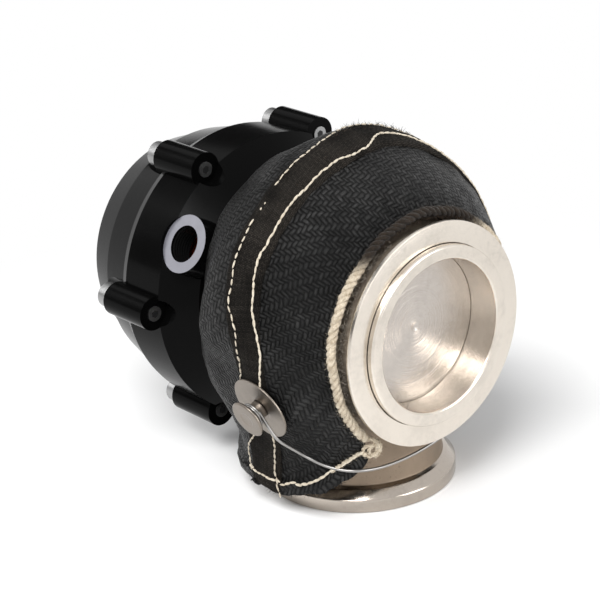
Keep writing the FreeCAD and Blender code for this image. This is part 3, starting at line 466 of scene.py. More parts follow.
def tubes(name, runs, material, body=BODY):
    """Several closed tubes in one object: each run is a path, a radius and a count of sides."""
    points, faces, start = [], [], 0
    for path, radius, sides in runs:
        more, loops = tube_parts(path, radius, sides)
        points.append(more)
        faces += [tuple(start + i for i in loop) for loop in loops]
        start += len(more)
    thing = new_object(name, np.vstack(points), faces, material, body)
    fix_normals(thing)
    return thing


def fix_normals(thing):
    """Turn all faces outwards."""
    mesh = bmesh.new()
    mesh.from_mesh(thing.data)
    bmesh.ops.recalc_face_normals(mesh, faces=mesh.faces)
    mesh.to_mesh(thing.data)
    mesh.free()


def tidy_mesh(thing):
    """Merge points that lie on each other and turn all faces outwards."""
    distance = 0.002 * MM
    mesh = bmesh.new()
    mesh.from_mesh(thing.data)
    bmesh.ops.remove_doubles(mesh, verts=mesh.verts, dist=distance)
    bmesh.ops.dissolve_degenerate(mesh, dist=distance, edges=mesh.edges)
    bmesh.ops.recalc_face_normals(mesh, faces=mesh.faces)
    mesh.to_mesh(thing.data)
    mesh.free()


def combine(target, tools, operation):
    """Boolean each tool with the target, and throw the tools away."""
    for tool in tools:
        change = target.modifiers.new("join", "BOOLEAN")
        change.operation = operation
        change.solver = "EXACT"
        change.object = tool
        baked(target)
        bpy.data.objects.remove(tool)


def from_node(name, node, material, body=BODY):
    """The node's own form with its triangles joined, so that round faces shade round."""
    mesh = NODES[node].data.copy()
    thing = add_object(name, mesh)
    dress(mesh, material)
    form = bmesh.new()
    form.from_mesh(mesh)
    bmesh.ops.remove_doubles(form, verts=form.verts, dist=0.0005 * MM)
    form.to_mesh(mesh)
    form.free()
    mesh.normals_split_custom_set([(0, 0, 0)] * len(mesh.loops))
    sharpen(thing, 28.0)
    if body:
        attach(thing, body)
    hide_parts(node)
    return thing


# Seeded smooth noise over points

def lattice_noise(points, size, seed):
    """Value noise from -1 to 1 at points, with features of this size."""
    grid = np.random.default_rng(seed).uniform(-1, 1, (32, 32, 32))
    place = np.asarray(points) / size + 1000.0
    base = np.floor(place).astype(int)
    part = place - base
    part = part * part * (3 - 2 * part)
    total = np.zeros(len(place))
    for corner in range(8):
        step = np.array([corner & 1, corner >> 1 & 1, corner >> 2 & 1])
        weight = np.prod(np.where(step, part, 1 - part), axis=1)
        cell = (base + step) % 32
        total += weight * grid[cell[:, 0], cell[:, 1], cell[:, 2]]
    return total


def layered(points, *layers):
    """Noise in layers of height, size and seed."""
    return sum(height * lattice_noise(points, size, seed) for height, size, seed in layers)


# Blanket form

# Half section of the blanket round the valve axis: place along the axis and radius
BLANKET_SECTION = [
    (-36.4, 45.6), (-34.5, 47.8), (-32.0, 50.3), (-28.0, 53.6), (-24.0, 56.3), (-20.0, 58.6),
    (-16.0, 60.9), (-12.0, 63.0), (-8.0, 64.7), (-4.0, 65.6), (0.0, 65.9), (4.0, 65.9),
    (8.0, 65.3), (12.0, 64.3), (16.0, 62.4), (20.0, 60.4), (24.0, 58.6), (28.0, 56.3),
    (31.0, 53.6), (33.2, 50.4), (34.2, 48.0), (34.4, 46.6),
]
# Skirt round the outlet: its radius, and the flat at its back
SKIRT_RADIUS = 45.6
SKIRT_BACK = 39.6
# Lacing anchors: angle below level, place along the axis, and reaches from the valve axis
ANCHOR_ANGLE = 20.2
ANCHOR_FOOT = (0.0, -10.7, AXIS_HEIGHT)
ANCHOR_SEAT = 58.6
WASHER_FACE = 60.7
SPOOL_HEIGHT = 5.6

# How far the lacing draws the blanket's back half in, by angle down from the top
DRAWN_ANGLES = (0, 45, 59, 68, 78, 90, 104, 116, 128, 150, 180)
DRAWN_DEPTHS = (0, 0.5, 3.0, 4.5, 6.0, 5.0, 3.0, 2.5, 2.0, 1.0, 0)
# Where along the axis the draw starts, and the length over which it comes in
DRAWN_FROM = 11.0
DRAWN_OVER = 13.0
# Flat pad under each washer, and how far the crown swells at the seam
PAD_RADIUS = 11.5
SEAM_SWELL = 1.7


def smooth_min(first, second, width):
    """The lesser of two fields, with a rounded corner of this width between them."""
    share = np.clip(0.5 + 0.5 * (second - first) / width, 0, 1)
    return second * (1 - share) + first * share - width * share * (1 - share)


def smooth_max(first, second, width):
    return -smooth_min(-first, -second, width)


def curve_through(points, steps):
    """A smooth curve that passes through every point."""
    points = np.asarray(points, float)
    padded = np.vstack([2 * points[0] - points[1], points, 2 * points[-1] - points[-2]])
    result = []
    for index in range(1, len(padded) - 2):
        a, b, c, d = padded[index - 1:index + 3]
        for t in np.arange(steps) / steps:
            result.append(0.5 * (2 * b + (c - a) * t + (2 * a - 5 * b + 4 * c - d) * t * t
                                 + (3 * b - a - 3 * c + d) * t ** 3))
    result.append(points[-1])
    return np.array(result)


# Grid on which the section's distance is worked out: its step and its reaches
GRID_STEP = 0.5
GRID_ALONG = 60
GRID_RADIUS = 90


def section_table():
    """Signed distance to the blanket's section at the points of the grid."""
    line = curve_through(BLANKET_SECTION, 6)
    outline = np.vstack([[line[0][0], -20.0], line, [line[-1][0], -20.0]])
    along, radius = np.meshgrid(np.arange(-GRID_ALONG, GRID_ALONG + 1, GRID_STEP),
                                np.arange(0, GRID_RADIUS + 1, GRID_STEP), indexing="ij")
    best = np.full(along.shape, 1e9)
    inside = np.zeros(along.shape, bool)
    for (y1, r1), (y2, r2) in zip(outline, np.roll(outline, -1, axis=0)):
        dy, dr = y2 - y1, r2 - r1
        share = np.clip(((along - y1) * dy + (radius - r1) * dr) / (dy * dy + dr * dr + 1e-12), 0, 1)
        best = np.minimum(best, np.hypot(along - y1 - share * dy, radius - r1 - share * dr))
        crosses = (r1 > radius) != (r2 > radius)
        with np.errstate(divide="ignore", invalid="ignore"):
            inside ^= crosses & (along < dy * (radius - r1) / dr + y1)
    return np.where(inside, -best, best)


SECTION = section_table()


def section_distance(along, radius):
    """Signed distance read from the grid."""
    a = np.clip((along + GRID_ALONG) / GRID_STEP, 0, 2 * GRID_ALONG / GRID_STEP - 0.01)
    r = np.clip(radius / GRID_STEP, 0, GRID_RADIUS / GRID_STEP - 0.01)
    ia, ir = a.astype(int), r.astype(int)
    fa, fr = a - ia, r - ir
    return ((SECTION[ia, ir] * (1 - fa) + SECTION[ia + 1, ir] * fa) * (1 - fr)
            + (SECTION[ia, ir + 1] * (1 - fa) + SECTION[ia + 1, ir + 1] * fa) * fr)


def anchor_axis(side):
    """Direction in which a lacing anchor stands out: -1 is the near side, 1 the far one."""
    turn = math.radians(ANCHOR_ANGLE)
    return np.array([side * math.cos(turn), 0.0, -math.sin(turn)])


def blanket_field(points):
    """Below zero inside the blanket, above zero outside, about a millimetre per millimetre."""
    x, y, z = points.T
    drop = z - AXIS_HEIGHT
    radius = np.hypot(x, drop)
    from_top = np.degrees(np.arccos(np.clip(drop / np.maximum(radius, 1e-6), -1, 1)))
    ramp = np.clip((y - DRAWN_FROM) / DRAWN_OVER, 0, 1)
    drawn = np.interp(from_top, DRAWN_ANGLES, DRAWN_DEPTHS) * ramp * ramp * (3 - 2 * ramp)
    bulge = section_distance(y, radius + drawn)
    skirt_radius = SKIRT_RADIUS + 1.2 * np.exp(-((z - 13.0) / 7.0) ** 2)
    skirt = np.hypot(x, y) - skirt_radius
    skirt = smooth_max(skirt, y - SKIRT_BACK, 5.0)
    skirt = smooth_max(skirt, z - AXIS_HEIGHT, 10.0)
    for side in (-1, 1):
        arm = points - ANCHOR_FOOT
        out = arm @ anchor_axis(side)
        beside = np.linalg.norm(arm - out[:, None] * anchor_axis(side), axis=1)
        pad = smooth_max(beside - PAD_RADIUS, out - ANCHOR_SEAT, 4.0)
        pad = np.where(out > 0, pad, 50.0)
        bulge = smooth_max(smooth_min(bulge, pad, 6.0), out - ANCHOR_SEAT, 3.0)
    seam_swell = SEAM_SWELL * np.exp(-((x - 12) / 15) ** 2 - ((y - 8) / 8) ** 2) * (drop > 0)
    return smooth_min(bulge, skirt, 8.0) - seam_swell


def field_normal(points):
    """Outward direction of the field at points, and its slope."""
    step = 0.25
    slopes = [blanket_field(points + shift) - blanket_field(points - shift)
              for shift in step * np.eye(3)]
    slopes = np.array(slopes).T / (2 * step)
    size = np.linalg.norm(slopes, axis=1, keepdims=True)
    return slopes / np.maximum(size, 1e-6), size[:, 0]


def to_blanket(points, rounds=6):
    """Move points along the field's slope until they lie on the blanket's face."""
    points = np.array(points, float)
    for _ in range(rounds):
        normal, slope = field_normal(points)
        away = blanket_field(points) / np.maximum(slope, 0.3)
        points -= normal * np.clip(away, -6, 6)[:, None]
    return points


def round_valve(angle, along, radius):
    """A point at this angle, counted up from the far side, round the valve axis."""
    turn = math.radians(angle)
    return (radius * math.cos(turn), along, AXIS_HEIGHT + radius * math.sin(turn))


# The blanket's open edge, and the angle on its rear ring that each point faces: over the
# inlet collar to the near side, down the front slit, along the hem and up the far slit
NEAR_EDGE = (
    [(*round_valve(a, -36.4, 45.6), ring) for a, ring in (
        (90, 90), (110, 106), (130, 121), (150, 136), (170, 150), (190, 163), (210, 176),
        (225, 186))]
    + [(-28.2, -37.0, 30.6, 191), (-28.5, -36.4, 27.2, 196), (-30.1, -34.7, 23.1, 201),
       (-33.0, -32.2, 19.8, 206), (-35.8, -29.6, 17.2, 210), (-40.2, -24.0, 13.1, 215),
       (-42.6, -19.0, 11.6, 219), (-44.4, -14.5, 10.6, 223), (-45.7, -9.5, 9.5, 227),
       (-46.4, -3.6, 8.5, 231), (-46.5, 2.0, 9.6, 235), (-46.1, 7.4, 10.6, 239),
       (-44.6, 13.0, 9.5, 243), (-41.0, 21.0, 8.5, 248), (-35.0, 29.5, 7.5, 253),
       (-26.0, 36.5, 7.0, 259), (-14.0, 39.3, 6.8, 265), (0.0, 39.4, 6.8, 270)]
)
FAR_EDGE = (
    [(*round_valve(a, -36.4, 45.6), ring) for a, ring in (
        (90, 90), (70, 74), (50, 59), (30, 44), (10, 30), (-10, 17), (-30, 4), (-48, -9))]
    + [(34.5, -32.0, 31.0, -17), (40.6, -22.5, 28.4, -25), (44.6, -12.0, 22.5, -32),
       (46.0, -3.5, 14.5, -39), (45.6, 5.0, 9.8, -46), (44.2, 13.0, 8.6, -53),
       (41.0, 21.0, 8.2, -61), (35.0, 29.5, 7.5, -69), (26.0, 36.5, 7.0, -77),
       (14.0, 39.3, 6.8, -84), (0.0, 39.4, 6.8, -90)]
)
# Rear ring by angle down from the top: radius and place along the axis
RING_ANGLES = (0, 50, 75, 100, 120, 140, 160, 180)
RING_RADII = (48.2, 47.6, 46.4, 46.4, 47.6, 49.6, 51.2, 51.2)
RING_REACHES = (33.6, 32.6, 29.5, 29.0, 31.5, 35.0, 37.4, 37.6)
COLUMNS = 190
ROWS = 100


def even(points, count):
    """Points spread evenly along a smooth curve through the given ones."""
    line = curve_through(points, 12)
    length = run_length(line[:, :3])
    return read_at(np.linspace(0, length[-1], count), length, line)


def blanket_grid():
    """Rows from the rear ring to the open edge, columns right round, as an array of points."""
    near = even(NEAR_EDGE, COLUMNS + 1)
    far = even(FAR_EDGE, COLUMNS + 1)[::-1][1:-1]
    both = np.vstack([near, far])
    edge, ring_turn = both[:, :3], np.radians(both[:, 3])
    from_top = np.degrees(np.arccos(np.clip(np.sin(ring_turn), -1, 1)))
    radius = np.interp(from_top, RING_ANGLES, RING_RADII)
    ring = np.stack([radius * np.cos(ring_turn), np.interp(from_top, RING_ANGLES, RING_REACHES),
                     AXIS_HEIGHT + radius * np.sin(ring_turn)], axis=1)
    share = np.linspace(0, 1, ROWS)[:, None, None]
    grid = ring[None] * (1 - share) + edge[None] * share
    shape = grid[1:-1].shape
    grid[1:-1] = to_blanket(grid[1:-1].reshape(-1, 3), 14).reshape(shape)
    for step in range(72):
        around = np.roll(grid, 1, axis=1) + np.roll(grid, -1, axis=1)
        mean = (grid[:-2] + grid[2:] + around[1:-1]) / 4
        grid[1:-1] += 0.9 * (mean - grid[1:-1])
        if step % 4 == 3:
            grid[1:-1] = to_blanket(grid[1:-1].reshape(-1, 3), 3).reshape(shape)
    return grid


# How far the tape's back lies below the cloth's face
TUCK = 0.5


def strip(path, widths, thickness):
    """Rings of points for a band on the blanket: raised face, folded edges, tucked back."""
    path = to_blanket(path)
    across = np.cross(field_normal(path)[0], heading(path))
    shares = np.linspace(-1, 1, 13)
    rings = []
    for share in shares:
        points = to_blanket(path + across * (share * widths / 2)[:, None], 4)
        outward, _ = field_normal(points)
        rise = thickness * (1 - 0.7 * abs(share) ** 12)
        rings.append(points + outward * rise)
    for share in shares[::-1]:
        points = to_blanket(path + across * (share * widths / 2 * 0.98)[:, None], 4)
        outward, _ = field_normal(points)
        rings.append(points - outward * TUCK)
    return np.array(rings).transpose(1, 0, 2)


def set_cloth_map(thing, values):
    """Give a cloth's faces its own coordinates in millimetres, one pair per point."""
    layer = thing.data.uv_layers.new(name="cloth")
    index = np.zeros(len(thing.data.loops), int)
    thing.data.loops.foreach_get("vertex_index", index)
    layer.data.foreach_set("uv", np.asarray(values, float)[index].ravel())


# Finishes

STEEL = turned_metal("satin_steel", (0.74, 0.68, 0.605, 1), 0.23, relief=0.00002)
# A darker copy of the turned steel for the outlet flange: painted shade on it
STEEL_OUTLET_SHADED = turned_metal("satin_steel_outlet_shaded", (0.45, 0.40, 0.35, 1), 0.15, axis="Z")
VALVE_STEEL = turned_metal("turned_valve_steel", (0.55, 0.505, 0.465, 1), 0.20, grooves=4.2,
                           relief=0.00012)
CAST = cast_metal("cast_steel", (0.30, 0.235, 0.175, 1))
BLACK = anodised("black_anodised", grey(0.002), 0.17)
THREAD_BLACK = anodised("black_anodised_thread", grey(0.006), 0.22)
BARE_FACE = plain("bare_spot_face", (0.19, 0.19, 0.22, 1), 0.5, 0.0, grain=3.0)
BLACK_STEEL = plain("black_oxide", grey(0.012), 0.42, 0.6)
# Near-black hexagons on the screw ends: painted shade standing for the socket recesses
SCREW_END = plain("screw_steel", grey(0.42), 0.35, 1.0)
SOCKET_PAINTED_SHADE = plain("screw_socket_painted_shade", grey(0.02), 0.5, 0.5)
BRONZE = plain("bronze", (0.42, 0.27, 0.12, 1), 0.4, 1.0)
ISOLATOR = plain("ground_steel", grey(0.30, 0.04), 0.45, 1.0)
RUBBER = plain("black_rubber", grey(0.02), 0.6)
SILICONE = plain("orange_silicone", (0.72, 0.085, 0.014, 1), 0.45)
ALUMINIUM = turned_metal("turned_aluminium", grey(0.72), 0.28)
SPRING = plain("peened_spring_steel", grey(0.28), 0.42, 1.0)
WIRE_STEEL = plain("bright_wire", grey(0.34, 0.03), 0.33, 1.0, relief=0.000005)
ANCHOR_STEEL = plain("satin_disc_steel", (0.27, 0.235, 0.20, 1), 0.34, 1.0, grain=2.5)
# Each cloth's second colour is its yarn crowns' lit colour: the pair paints shade in the gaps and a
# highlight on the crowns
CLOTH = woven("black_twill", (0.0008, 0.0008, 0.0008, 1), (0.034, 0.0335, 0.033, 1), 1.62,
              0.0010, 0.50, gloss=0.13)
TAPE = woven("close_woven_tape", (0.0015, 0.0014, 0.0013, 1), (0.036, 0.031, 0.026, 1), 0.55,
             0.00030, 0.85, fray=0.10, gloss=0.06)
CREAM = fibrous("cream_cord", (0.76, 0.68, 0.55, 1), (0.30, 0.23, 0.15, 1), relief=0.00025,
                browned=(100.0, 107.0))
THREAD = fibrous("cream_thread", (0.70, 0.64, 0.53, 1), (0.42, 0.35, 0.26, 1), relief=0.00008)
BROWN_FIBRE = fibrous("brown_fibre", (0.085, 0.055, 0.034, 1), (0.015, 0.011, 0.008, 1))
DARK_FIBRE = fibrous("dark_fibre", (0.02, 0.018, 0.016, 1), (0.004, 0.004, 0.004, 1))
WADDING = fibrous("grey_wadding", (0.34, 0.30, 0.25, 1), (0.06, 0.05, 0.04, 1))
# Its second colour is the crowns' lit colour too: painted shade in the gaps, painted highlight on
# the crowns
LINER = woven("liner_cloth", (0.16, 0.13, 0.10, 1), (0.40, 0.35, 0.28, 1), 0.9, 0.0002)
CARD = plain("dark_card", grey(0.01), 0.9)


# Metal pieces that the photograph shows close up

def make_seat_ring():
    """Ring with the inlet bore, the raised lip and the seat."""
    ring = lathe("seat_ring_turned", [
        (29.0, -46.85), (29.6, -47.45), (33.8, -47.45), (34.4, -46.85), (34.4, -42.0),
        (33.0, -42.0), (33.0, -32.9), (30.0, -32.9), (29.0, -33.9)], STEEL, ease=0.35,
        segments=256)
    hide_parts("seat_ring")


def make_valve():
    """Valve head with a shallow turned face, its stem and its threaded end."""
    neck, stem, rim = 27.0, 4.5, 27.5
    tulip = [(neck - (neck - stem) * math.sin(t), -30.37 + 12.03 * (1 - math.cos(t)))
             for t in np.linspace(0, math.pi / 2, 12)]
    face = [(r, -33.9 + 0.35 * (1 - (r / rim) ** 2)) for r in (2.0, 5.0, 10.0, 16.0, 22.0, rim)]
    valve = lathe("valve_turned", [(0.0, -33.2), (1.4, -33.45)] + face + [
        (28.94, -33.9), (29.9, -32.94), (29.9, -31.34)] + tulip + [
        (stem, 45.3), (4.0, 45.3), (4.0, 59.5), (0.0, 59.5)], VALVE_STEEL, ease=0.12,
        segments=224, body=TRAIN)
    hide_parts("valve")


# How far the lathe turned the casting's flanges, from each open face
INLET_TURNED_TO = -39.9
OUTLET_TURNED_TO = 8.6


def make_body():
    """Cast angle body: barrel, flanges and neck joined, with both bores cut out of it."""
    barrel = lathe("valve_body_cast", [
        (0, -44.7), (42.7, -44.7), (42.7, -42.7), (37.2, -40.1), (37.2, -34.0), (40.5, -13.0),
        (40.75, 1.0), (40.5, 15.0), (39.0, 26.0), (39.0, 33.0), (0, 33.0)], CAST, ease=0.4,
        segments=224)
    neck = lathe("neck", [
        (0, 0), (37.5, 0), (37.5, 4.9), (34.2, 8.1), (32.3, 9.1), (32.3, 62.0), (0, 62.0)],
        CAST, OUTLET_AXIS, ease=0.45, segments=224, body=None)
    chamber = lathe("chamber", [
        (0, -46.0), (34.7, -46.0), (34.7, -42.0), (33.04, -42.0), (33.04, -32.9), (38.0, -12.0),
        (38.0, 9.0), (24.0, 16.0), (12.0, 16.0), (12.0, 11.0), (8.04, 11.0), (8.04, 27.5),
        (5.5, 27.5), (5.5, 34.0), (0, 34.0)], CAST, ease=0.15, body=None)
    passage = lathe("passage", [(0, -1.0), (28.0, -1.0), (28.0, 27.0), (16.0, 41.0), (0, 41.0)],
                    CAST, OUTLET_AXIS, ease=0.15, body=None)
    combine(barrel, [neck], "UNION")
    combine(barrel, [chamber, passage], "DIFFERENCE")
    # The outlet's turned faces take the darker copy, which is painted shade
    for extra in (STEEL, STEEL_OUTLET_SHADED):
        barrel.data.materials.append(extra)
    for face in barrel.data.polygons:
        x, y, z = (c / MM for c in face.center)
        turned_inlet = y < INLET_TURNED_TO and math.hypot(x, z - AXIS_HEIGHT) > 33.5
        turned_outlet = z < OUTLET_TURNED_TO and math.hypot(x, y) > 27.0
        face.material_index = 1 if turned_inlet else 2 if turned_outlet else 0
    sharpen(barrel, 30.0)
    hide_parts("valve_body")


def dress_housing():
    """Black housing with a bare spot face round its side port."""
    mesh = NODES["lower_housing"].data
    dress(mesh, BLACK, BARE_FACE)
    foot, out = (Vector(v) for v in PORT_AXIS)
    for face in mesh.polygons:
        arm = face.center / MM - foot
        reach = arm.dot(out)
        ring = (arm - out * reach).length
        if abs(reach - SPOT_FACE_REACH) < 0.1 and ring < SPOT_FACE_RADIUS:
            face.material_index = 1


def joined(name, pieces, node=None):
    """Several finished pieces as one object, which may stand for a CAD node."""
    total = bmesh.new()
    for piece in pieces:
        total.from_mesh(piece.data)
    mesh = bpy.data.meshes.new(name)
    total.to_mesh(mesh)
    total.free()
    mesh.materials.append(pieces[0].data.materials[0])
    thing = add_object(name, mesh)
    for piece in pieces:
        bpy.data.objects.remove(piece)
    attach(thing, BODY)
    if node:
        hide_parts(node)
    return sharpen(thing)


def make_sockets():
    """A dark hexagon set into the end of each housing screw: painted shade standing for the shade
    inside its socket.
    """
    mesh = bmesh.new()
    mesh.from_mesh(NODES["housing_screws"].data)
    bmesh.ops.remove_doubles(mesh, verts=mesh.verts, dist=0.01 * MM)
    waiting, pieces = dict.fromkeys(mesh.verts), []
    while waiting:
        island, edge = [], [waiting.popitem()[0]]
        while edge:
            vertex = edge.pop()
            island.append(vertex.co.copy())
            for link in vertex.link_edges:
                other = link.other_vert(vertex)
                if other in waiting:
                    del waiting[other]
                    edge.append(other)
        places = np.array(island) / MM
        end = places[:, 1].min()
        rim = places[places[:, 1] < end + 0.02]
        middle = (rim.min(axis=0) + rim.max(axis=0)) / 2
        reach = (rim[:, 0].max() - rim[:, 0].min()) / 2
        axis = ((middle[0], end, middle[2]), (0, -1, 0))
        # Each disc is painted shade in place of a real recess
        pieces.append(lathe("socket", [(0, -0.4), (0.52 * reach, -0.4), (0.52 * reach, 0.04),
                                       (0, 0.04)], SOCKET_PAINTED_SHADE, axis, 6, 0.0))
    mesh.free()
    total = joined("screw_sockets", pieces)
    total.data.set_sharp_from_angle(angle=math.radians(20))


def make_port_thread():
    """Thread inside the side port."""
    outline = [(7.3, 45.4)]
    for step in range(7):
        outline += [(7.1, 45.6 + 1.25 * step), (6.9, 46.2 + 1.25 * step)]
    outline += [(7.1, 54.3), (7.3, 54.3)]
    lathe("side_port_thread", outline, THREAD_BLACK, PORT_AXIS, segments=96, ease=0.05)


make_seat_ring()
make_valve()
make_body()
dress_housing()
make_sockets()
make_port_thread()
for node, material in (("stem_guide", BRONZE), ("heat_isolator", ISOLATOR),
                       ("body_bolts", BLACK_STEEL), ("stem_bushing", BRONZE),
                       ("stem_seal", RUBBER), ("piston_plate", ALUMINIUM),
                       ("piston_cup", ALUMINIUM), ("stem_nut", BLACK_STEEL),
                       ("upper_cap", BLACK), ("housing_screws", SCREW_END)):
    dress(NODES[node].data, material)

# The springs' copies get meshes of their own; the diaphragm's copy has its place baked in
for node in ("outer_spring", "inner_spring"):
    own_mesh(from_node(node + "_finished", node, SPRING))
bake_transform(from_node("diaphragm_finished", "diaphragm", SILICONE, body=None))


# Blanket: cloth, wadding, liner and tape

FOLD_DEPTH = 7.5
CLOTH_THICKNESS = 1.5
WADDING_DEPTH = 2.0
WADDING_THICKNESS = 6.0


def make_blanket():
    """Woven shell with wrinkles, a folded hem, and gathers at the inlet."""
    grid = blanket_grid()
    rows, columns = grid.shape[:2]
    flat = grid.reshape(-1, 3).copy()
    normal, _ = field_normal(flat)
    along = np.zeros((rows, columns))
    along[1:] = np.cumsum(np.linalg.norm(np.diff(grid, axis=0), axis=2), axis=0)
    to_edge = (along[-1] - along).ravel()
    calm = np.minimum(1, np.arange(rows) / 5)[:, None] * np.ones(columns)
    swell = layered(flat, (0.60, 15.0, 3), (0.34, 6.5, 4), (0.14, 2.4, 5)) * calm.ravel()
    low = np.clip((34 - flat[:, 2]) / 6, 0, 1)
    swell += 0.8 * low * np.clip((FOLD_DEPTH - to_edge) / 1.2, 0, 1)
    gathers = np.clip(1 - to_edge / 9, 0, 1) * (flat[:, 1] < -25) * (flat[:, 2] > 40)
    around_inlet = np.arctan2(flat[:, 2] - AXIS_HEIGHT, flat[:, 0])
    swell += gathers * 0.5 * np.sin(around_inlet * 34 + 2.0 * lattice_noise(flat, 20.0, 8))
    flat += normal * swell[:, None]
    edge_wave = np.clip(1 - to_edge / 4, 0, 1) * low
    flat[:, 2] += edge_wave * layered(flat, (0.7, 3.6, 6), (0.4, 1.5, 7))
    step = np.linalg.norm(grid[rows // 2] - np.roll(grid[rows // 2], 1, axis=0), axis=1)
    around = np.cumsum(step)
    shell = new_object("blanket_outer_cloth", flat, loop_faces(rows, columns, "open"), CLOTH)
    set_cloth_map(shell, np.stack([np.tile(around, rows), along.ravel()], axis=1))
    repair_seam(shell, around[-1])
    thicken(shell, CLOTH_THICKNESS)
    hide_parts("blanket_outer")
    return grid


def repair_seam(thing, length):
    """Carry the cloth coordinates on where the last column meets the first."""
    layer = thing.data.uv_layers["cloth"].data
    for face in thing.data.polygons:
        values = [layer[i].uv[0] for i in face.loop_indices]
        if max(values) - min(values) > length / 2:
            for i in face.loop_indices:
                if layer[i].uv[0] < length / 2:
                    layer[i].uv[0] += length


def face_outwards(thing):
    """Flip an open shell if its faces point towards the valve axis."""
    centre = Vector((0, 0, AXIS_HEIGHT * MM))
    total = sum((face.center - centre).dot(face.normal) for face in thing.data.polygons)
    if total < 0:
        thing.data.flip_normals()


def thicken(shell, thickness):
    """Give an open shell a wall that grows inwards."""
    face_outwards(shell)
    wall = shell.modifiers.new("wall", "SOLIDIFY")
    wall.thickness = thickness * MM
    wall.offset = -1.0
    baked(shell)
    shell.data.shade_smooth()


def make_wadding(grid):
    """Ragged wadding under the cloth, kept back from the cloth's open edge by five rows."""
    part = grid[1:-5:2, ::2]
    rows, columns = part.shape[:2]
    flat = part.reshape(-1, 3).copy()
    normal, _ = field_normal(flat)
    flat -= normal * WADDING_DEPTH
    flat += normal * layered(flat, (0.5, 3.0, 21), (0.25, 1.2, 22))[:, None]
    wadding = new_object("blanket_wadding", flat, loop_faces(rows, columns, "open"), WADDING)
    thicken(wadding, WADDING_THICKNESS)
    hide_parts("blanket_batting")


def make_liner():
    """Inner cloth round the cast body, with the slight unevenness of wrapped cloth."""
    mesh = NODES["blanket_liner"].data.copy()
    liner = add_object("blanket_liner_cloth", mesh)
    dress(mesh, LINER)
    tidy_mesh(liner)
    grow = liner.modifiers.new("even_mesh", "REMESH")
    grow.mode = "VOXEL"
    grow.voxel_size = 0.0011
    baked(liner)
    mesh = liner.data
    points, way = (np.zeros(len(mesh.vertices) * 3) for _ in range(2))
    mesh.vertices.foreach_get("co", points)
    mesh.vertices.foreach_get("normal", way)
    points, way = points.reshape(-1, 3), way.reshape(-1, 3)
    points += way * (0.25 * MM * lattice_noise(points / MM, 3.0, 31))[:, None]
    mesh.vertices.foreach_set("co", points.ravel())
    mesh.shade_smooth()
    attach(liner, BODY)
    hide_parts("blanket_liner")


# The tape's middle line from the far side over the crown to the near side, and its widths
TAPE_PATH = [(50.5, -5.4, 37.0), (54.5, -7.6, 46.0), (58.5, -9.4, 56.0), (61.2, -9.8, 67.0),
             (61.5, -9.5, 84.0), (54.0, -7.5, 102.0), (44.0, -6.0, 117.0),
             (30.0, -4.5, 128.0), (13.0, -3.6, 134.5), (-1.0, -4.2, 135.0), (-16.0, -5.4, 133.0),
             (-31.0, -5.8, 127.0), (-42.0, -6.2, 118.5), (-49.0, -6.2, 111.0),
             (-55.5, -6.6, 102.5), (-59.2, -8.0, 94.0), (-62.0, -10.2, 84.5),
             (-62.0, -11.6, 75.0), (-60.2, -11.2, 66.0), (-57.8, -9.6, 56.0),
             (-54.0, -7.0, 46.0), (-50.5, -4.4, 37.0), (-47.5, -1.6, 28.0), (-46.6, 0.2, 19.0),
             (-46.8, 0.6, 9.6)]
TAPE_WIDTHS = [15, 15, 15, 15, 15, 15.5, 16, 17, 18, 18, 18, 17, 16, 15.6, 15.6, 15, 13.6,
               12.8, 13.6, 15, 15, 15.5, 16.5, 17, 17]
TAPE_THICKNESS = 1.15


def make_tape():
    """Close-woven tape over the crown and down both sides, wider where it lies slack."""
    path = curve_through(TAPE_PATH, 12)
    widths = np.interp(np.linspace(0, 1, len(path)), np.linspace(0, 1, len(TAPE_WIDTHS)),
                       TAPE_WIDTHS)
    widths = widths + layered(path, (0.7, 7.0, 41), (0.4, 2.2, 42))
    rings = strip(path, widths, TAPE_THICKNESS)
    count = rings.shape[1]
    flat = rings.reshape(-1, 3)
    flat += field_normal(flat)[0] * (0.28 * lattice_noise(flat, 4.0, 43))[:, None]
    tape = new_object("seam_tape_cloth", flat, loop_faces(len(rings), count), TAPE)
    length = run_length(path)
    wide = np.concatenate([np.linspace(0, 16, count // 2), np.linspace(16, 0, count // 2)])
    set_cloth_map(tape, np.stack([np.repeat(length, count), np.tile(wide, len(path))], axis=1))
    fix_normals(tape)
    tape.data.shade_smooth()
    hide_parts("seam_tape")


# Stitches and loose fibres, by geometry nodes

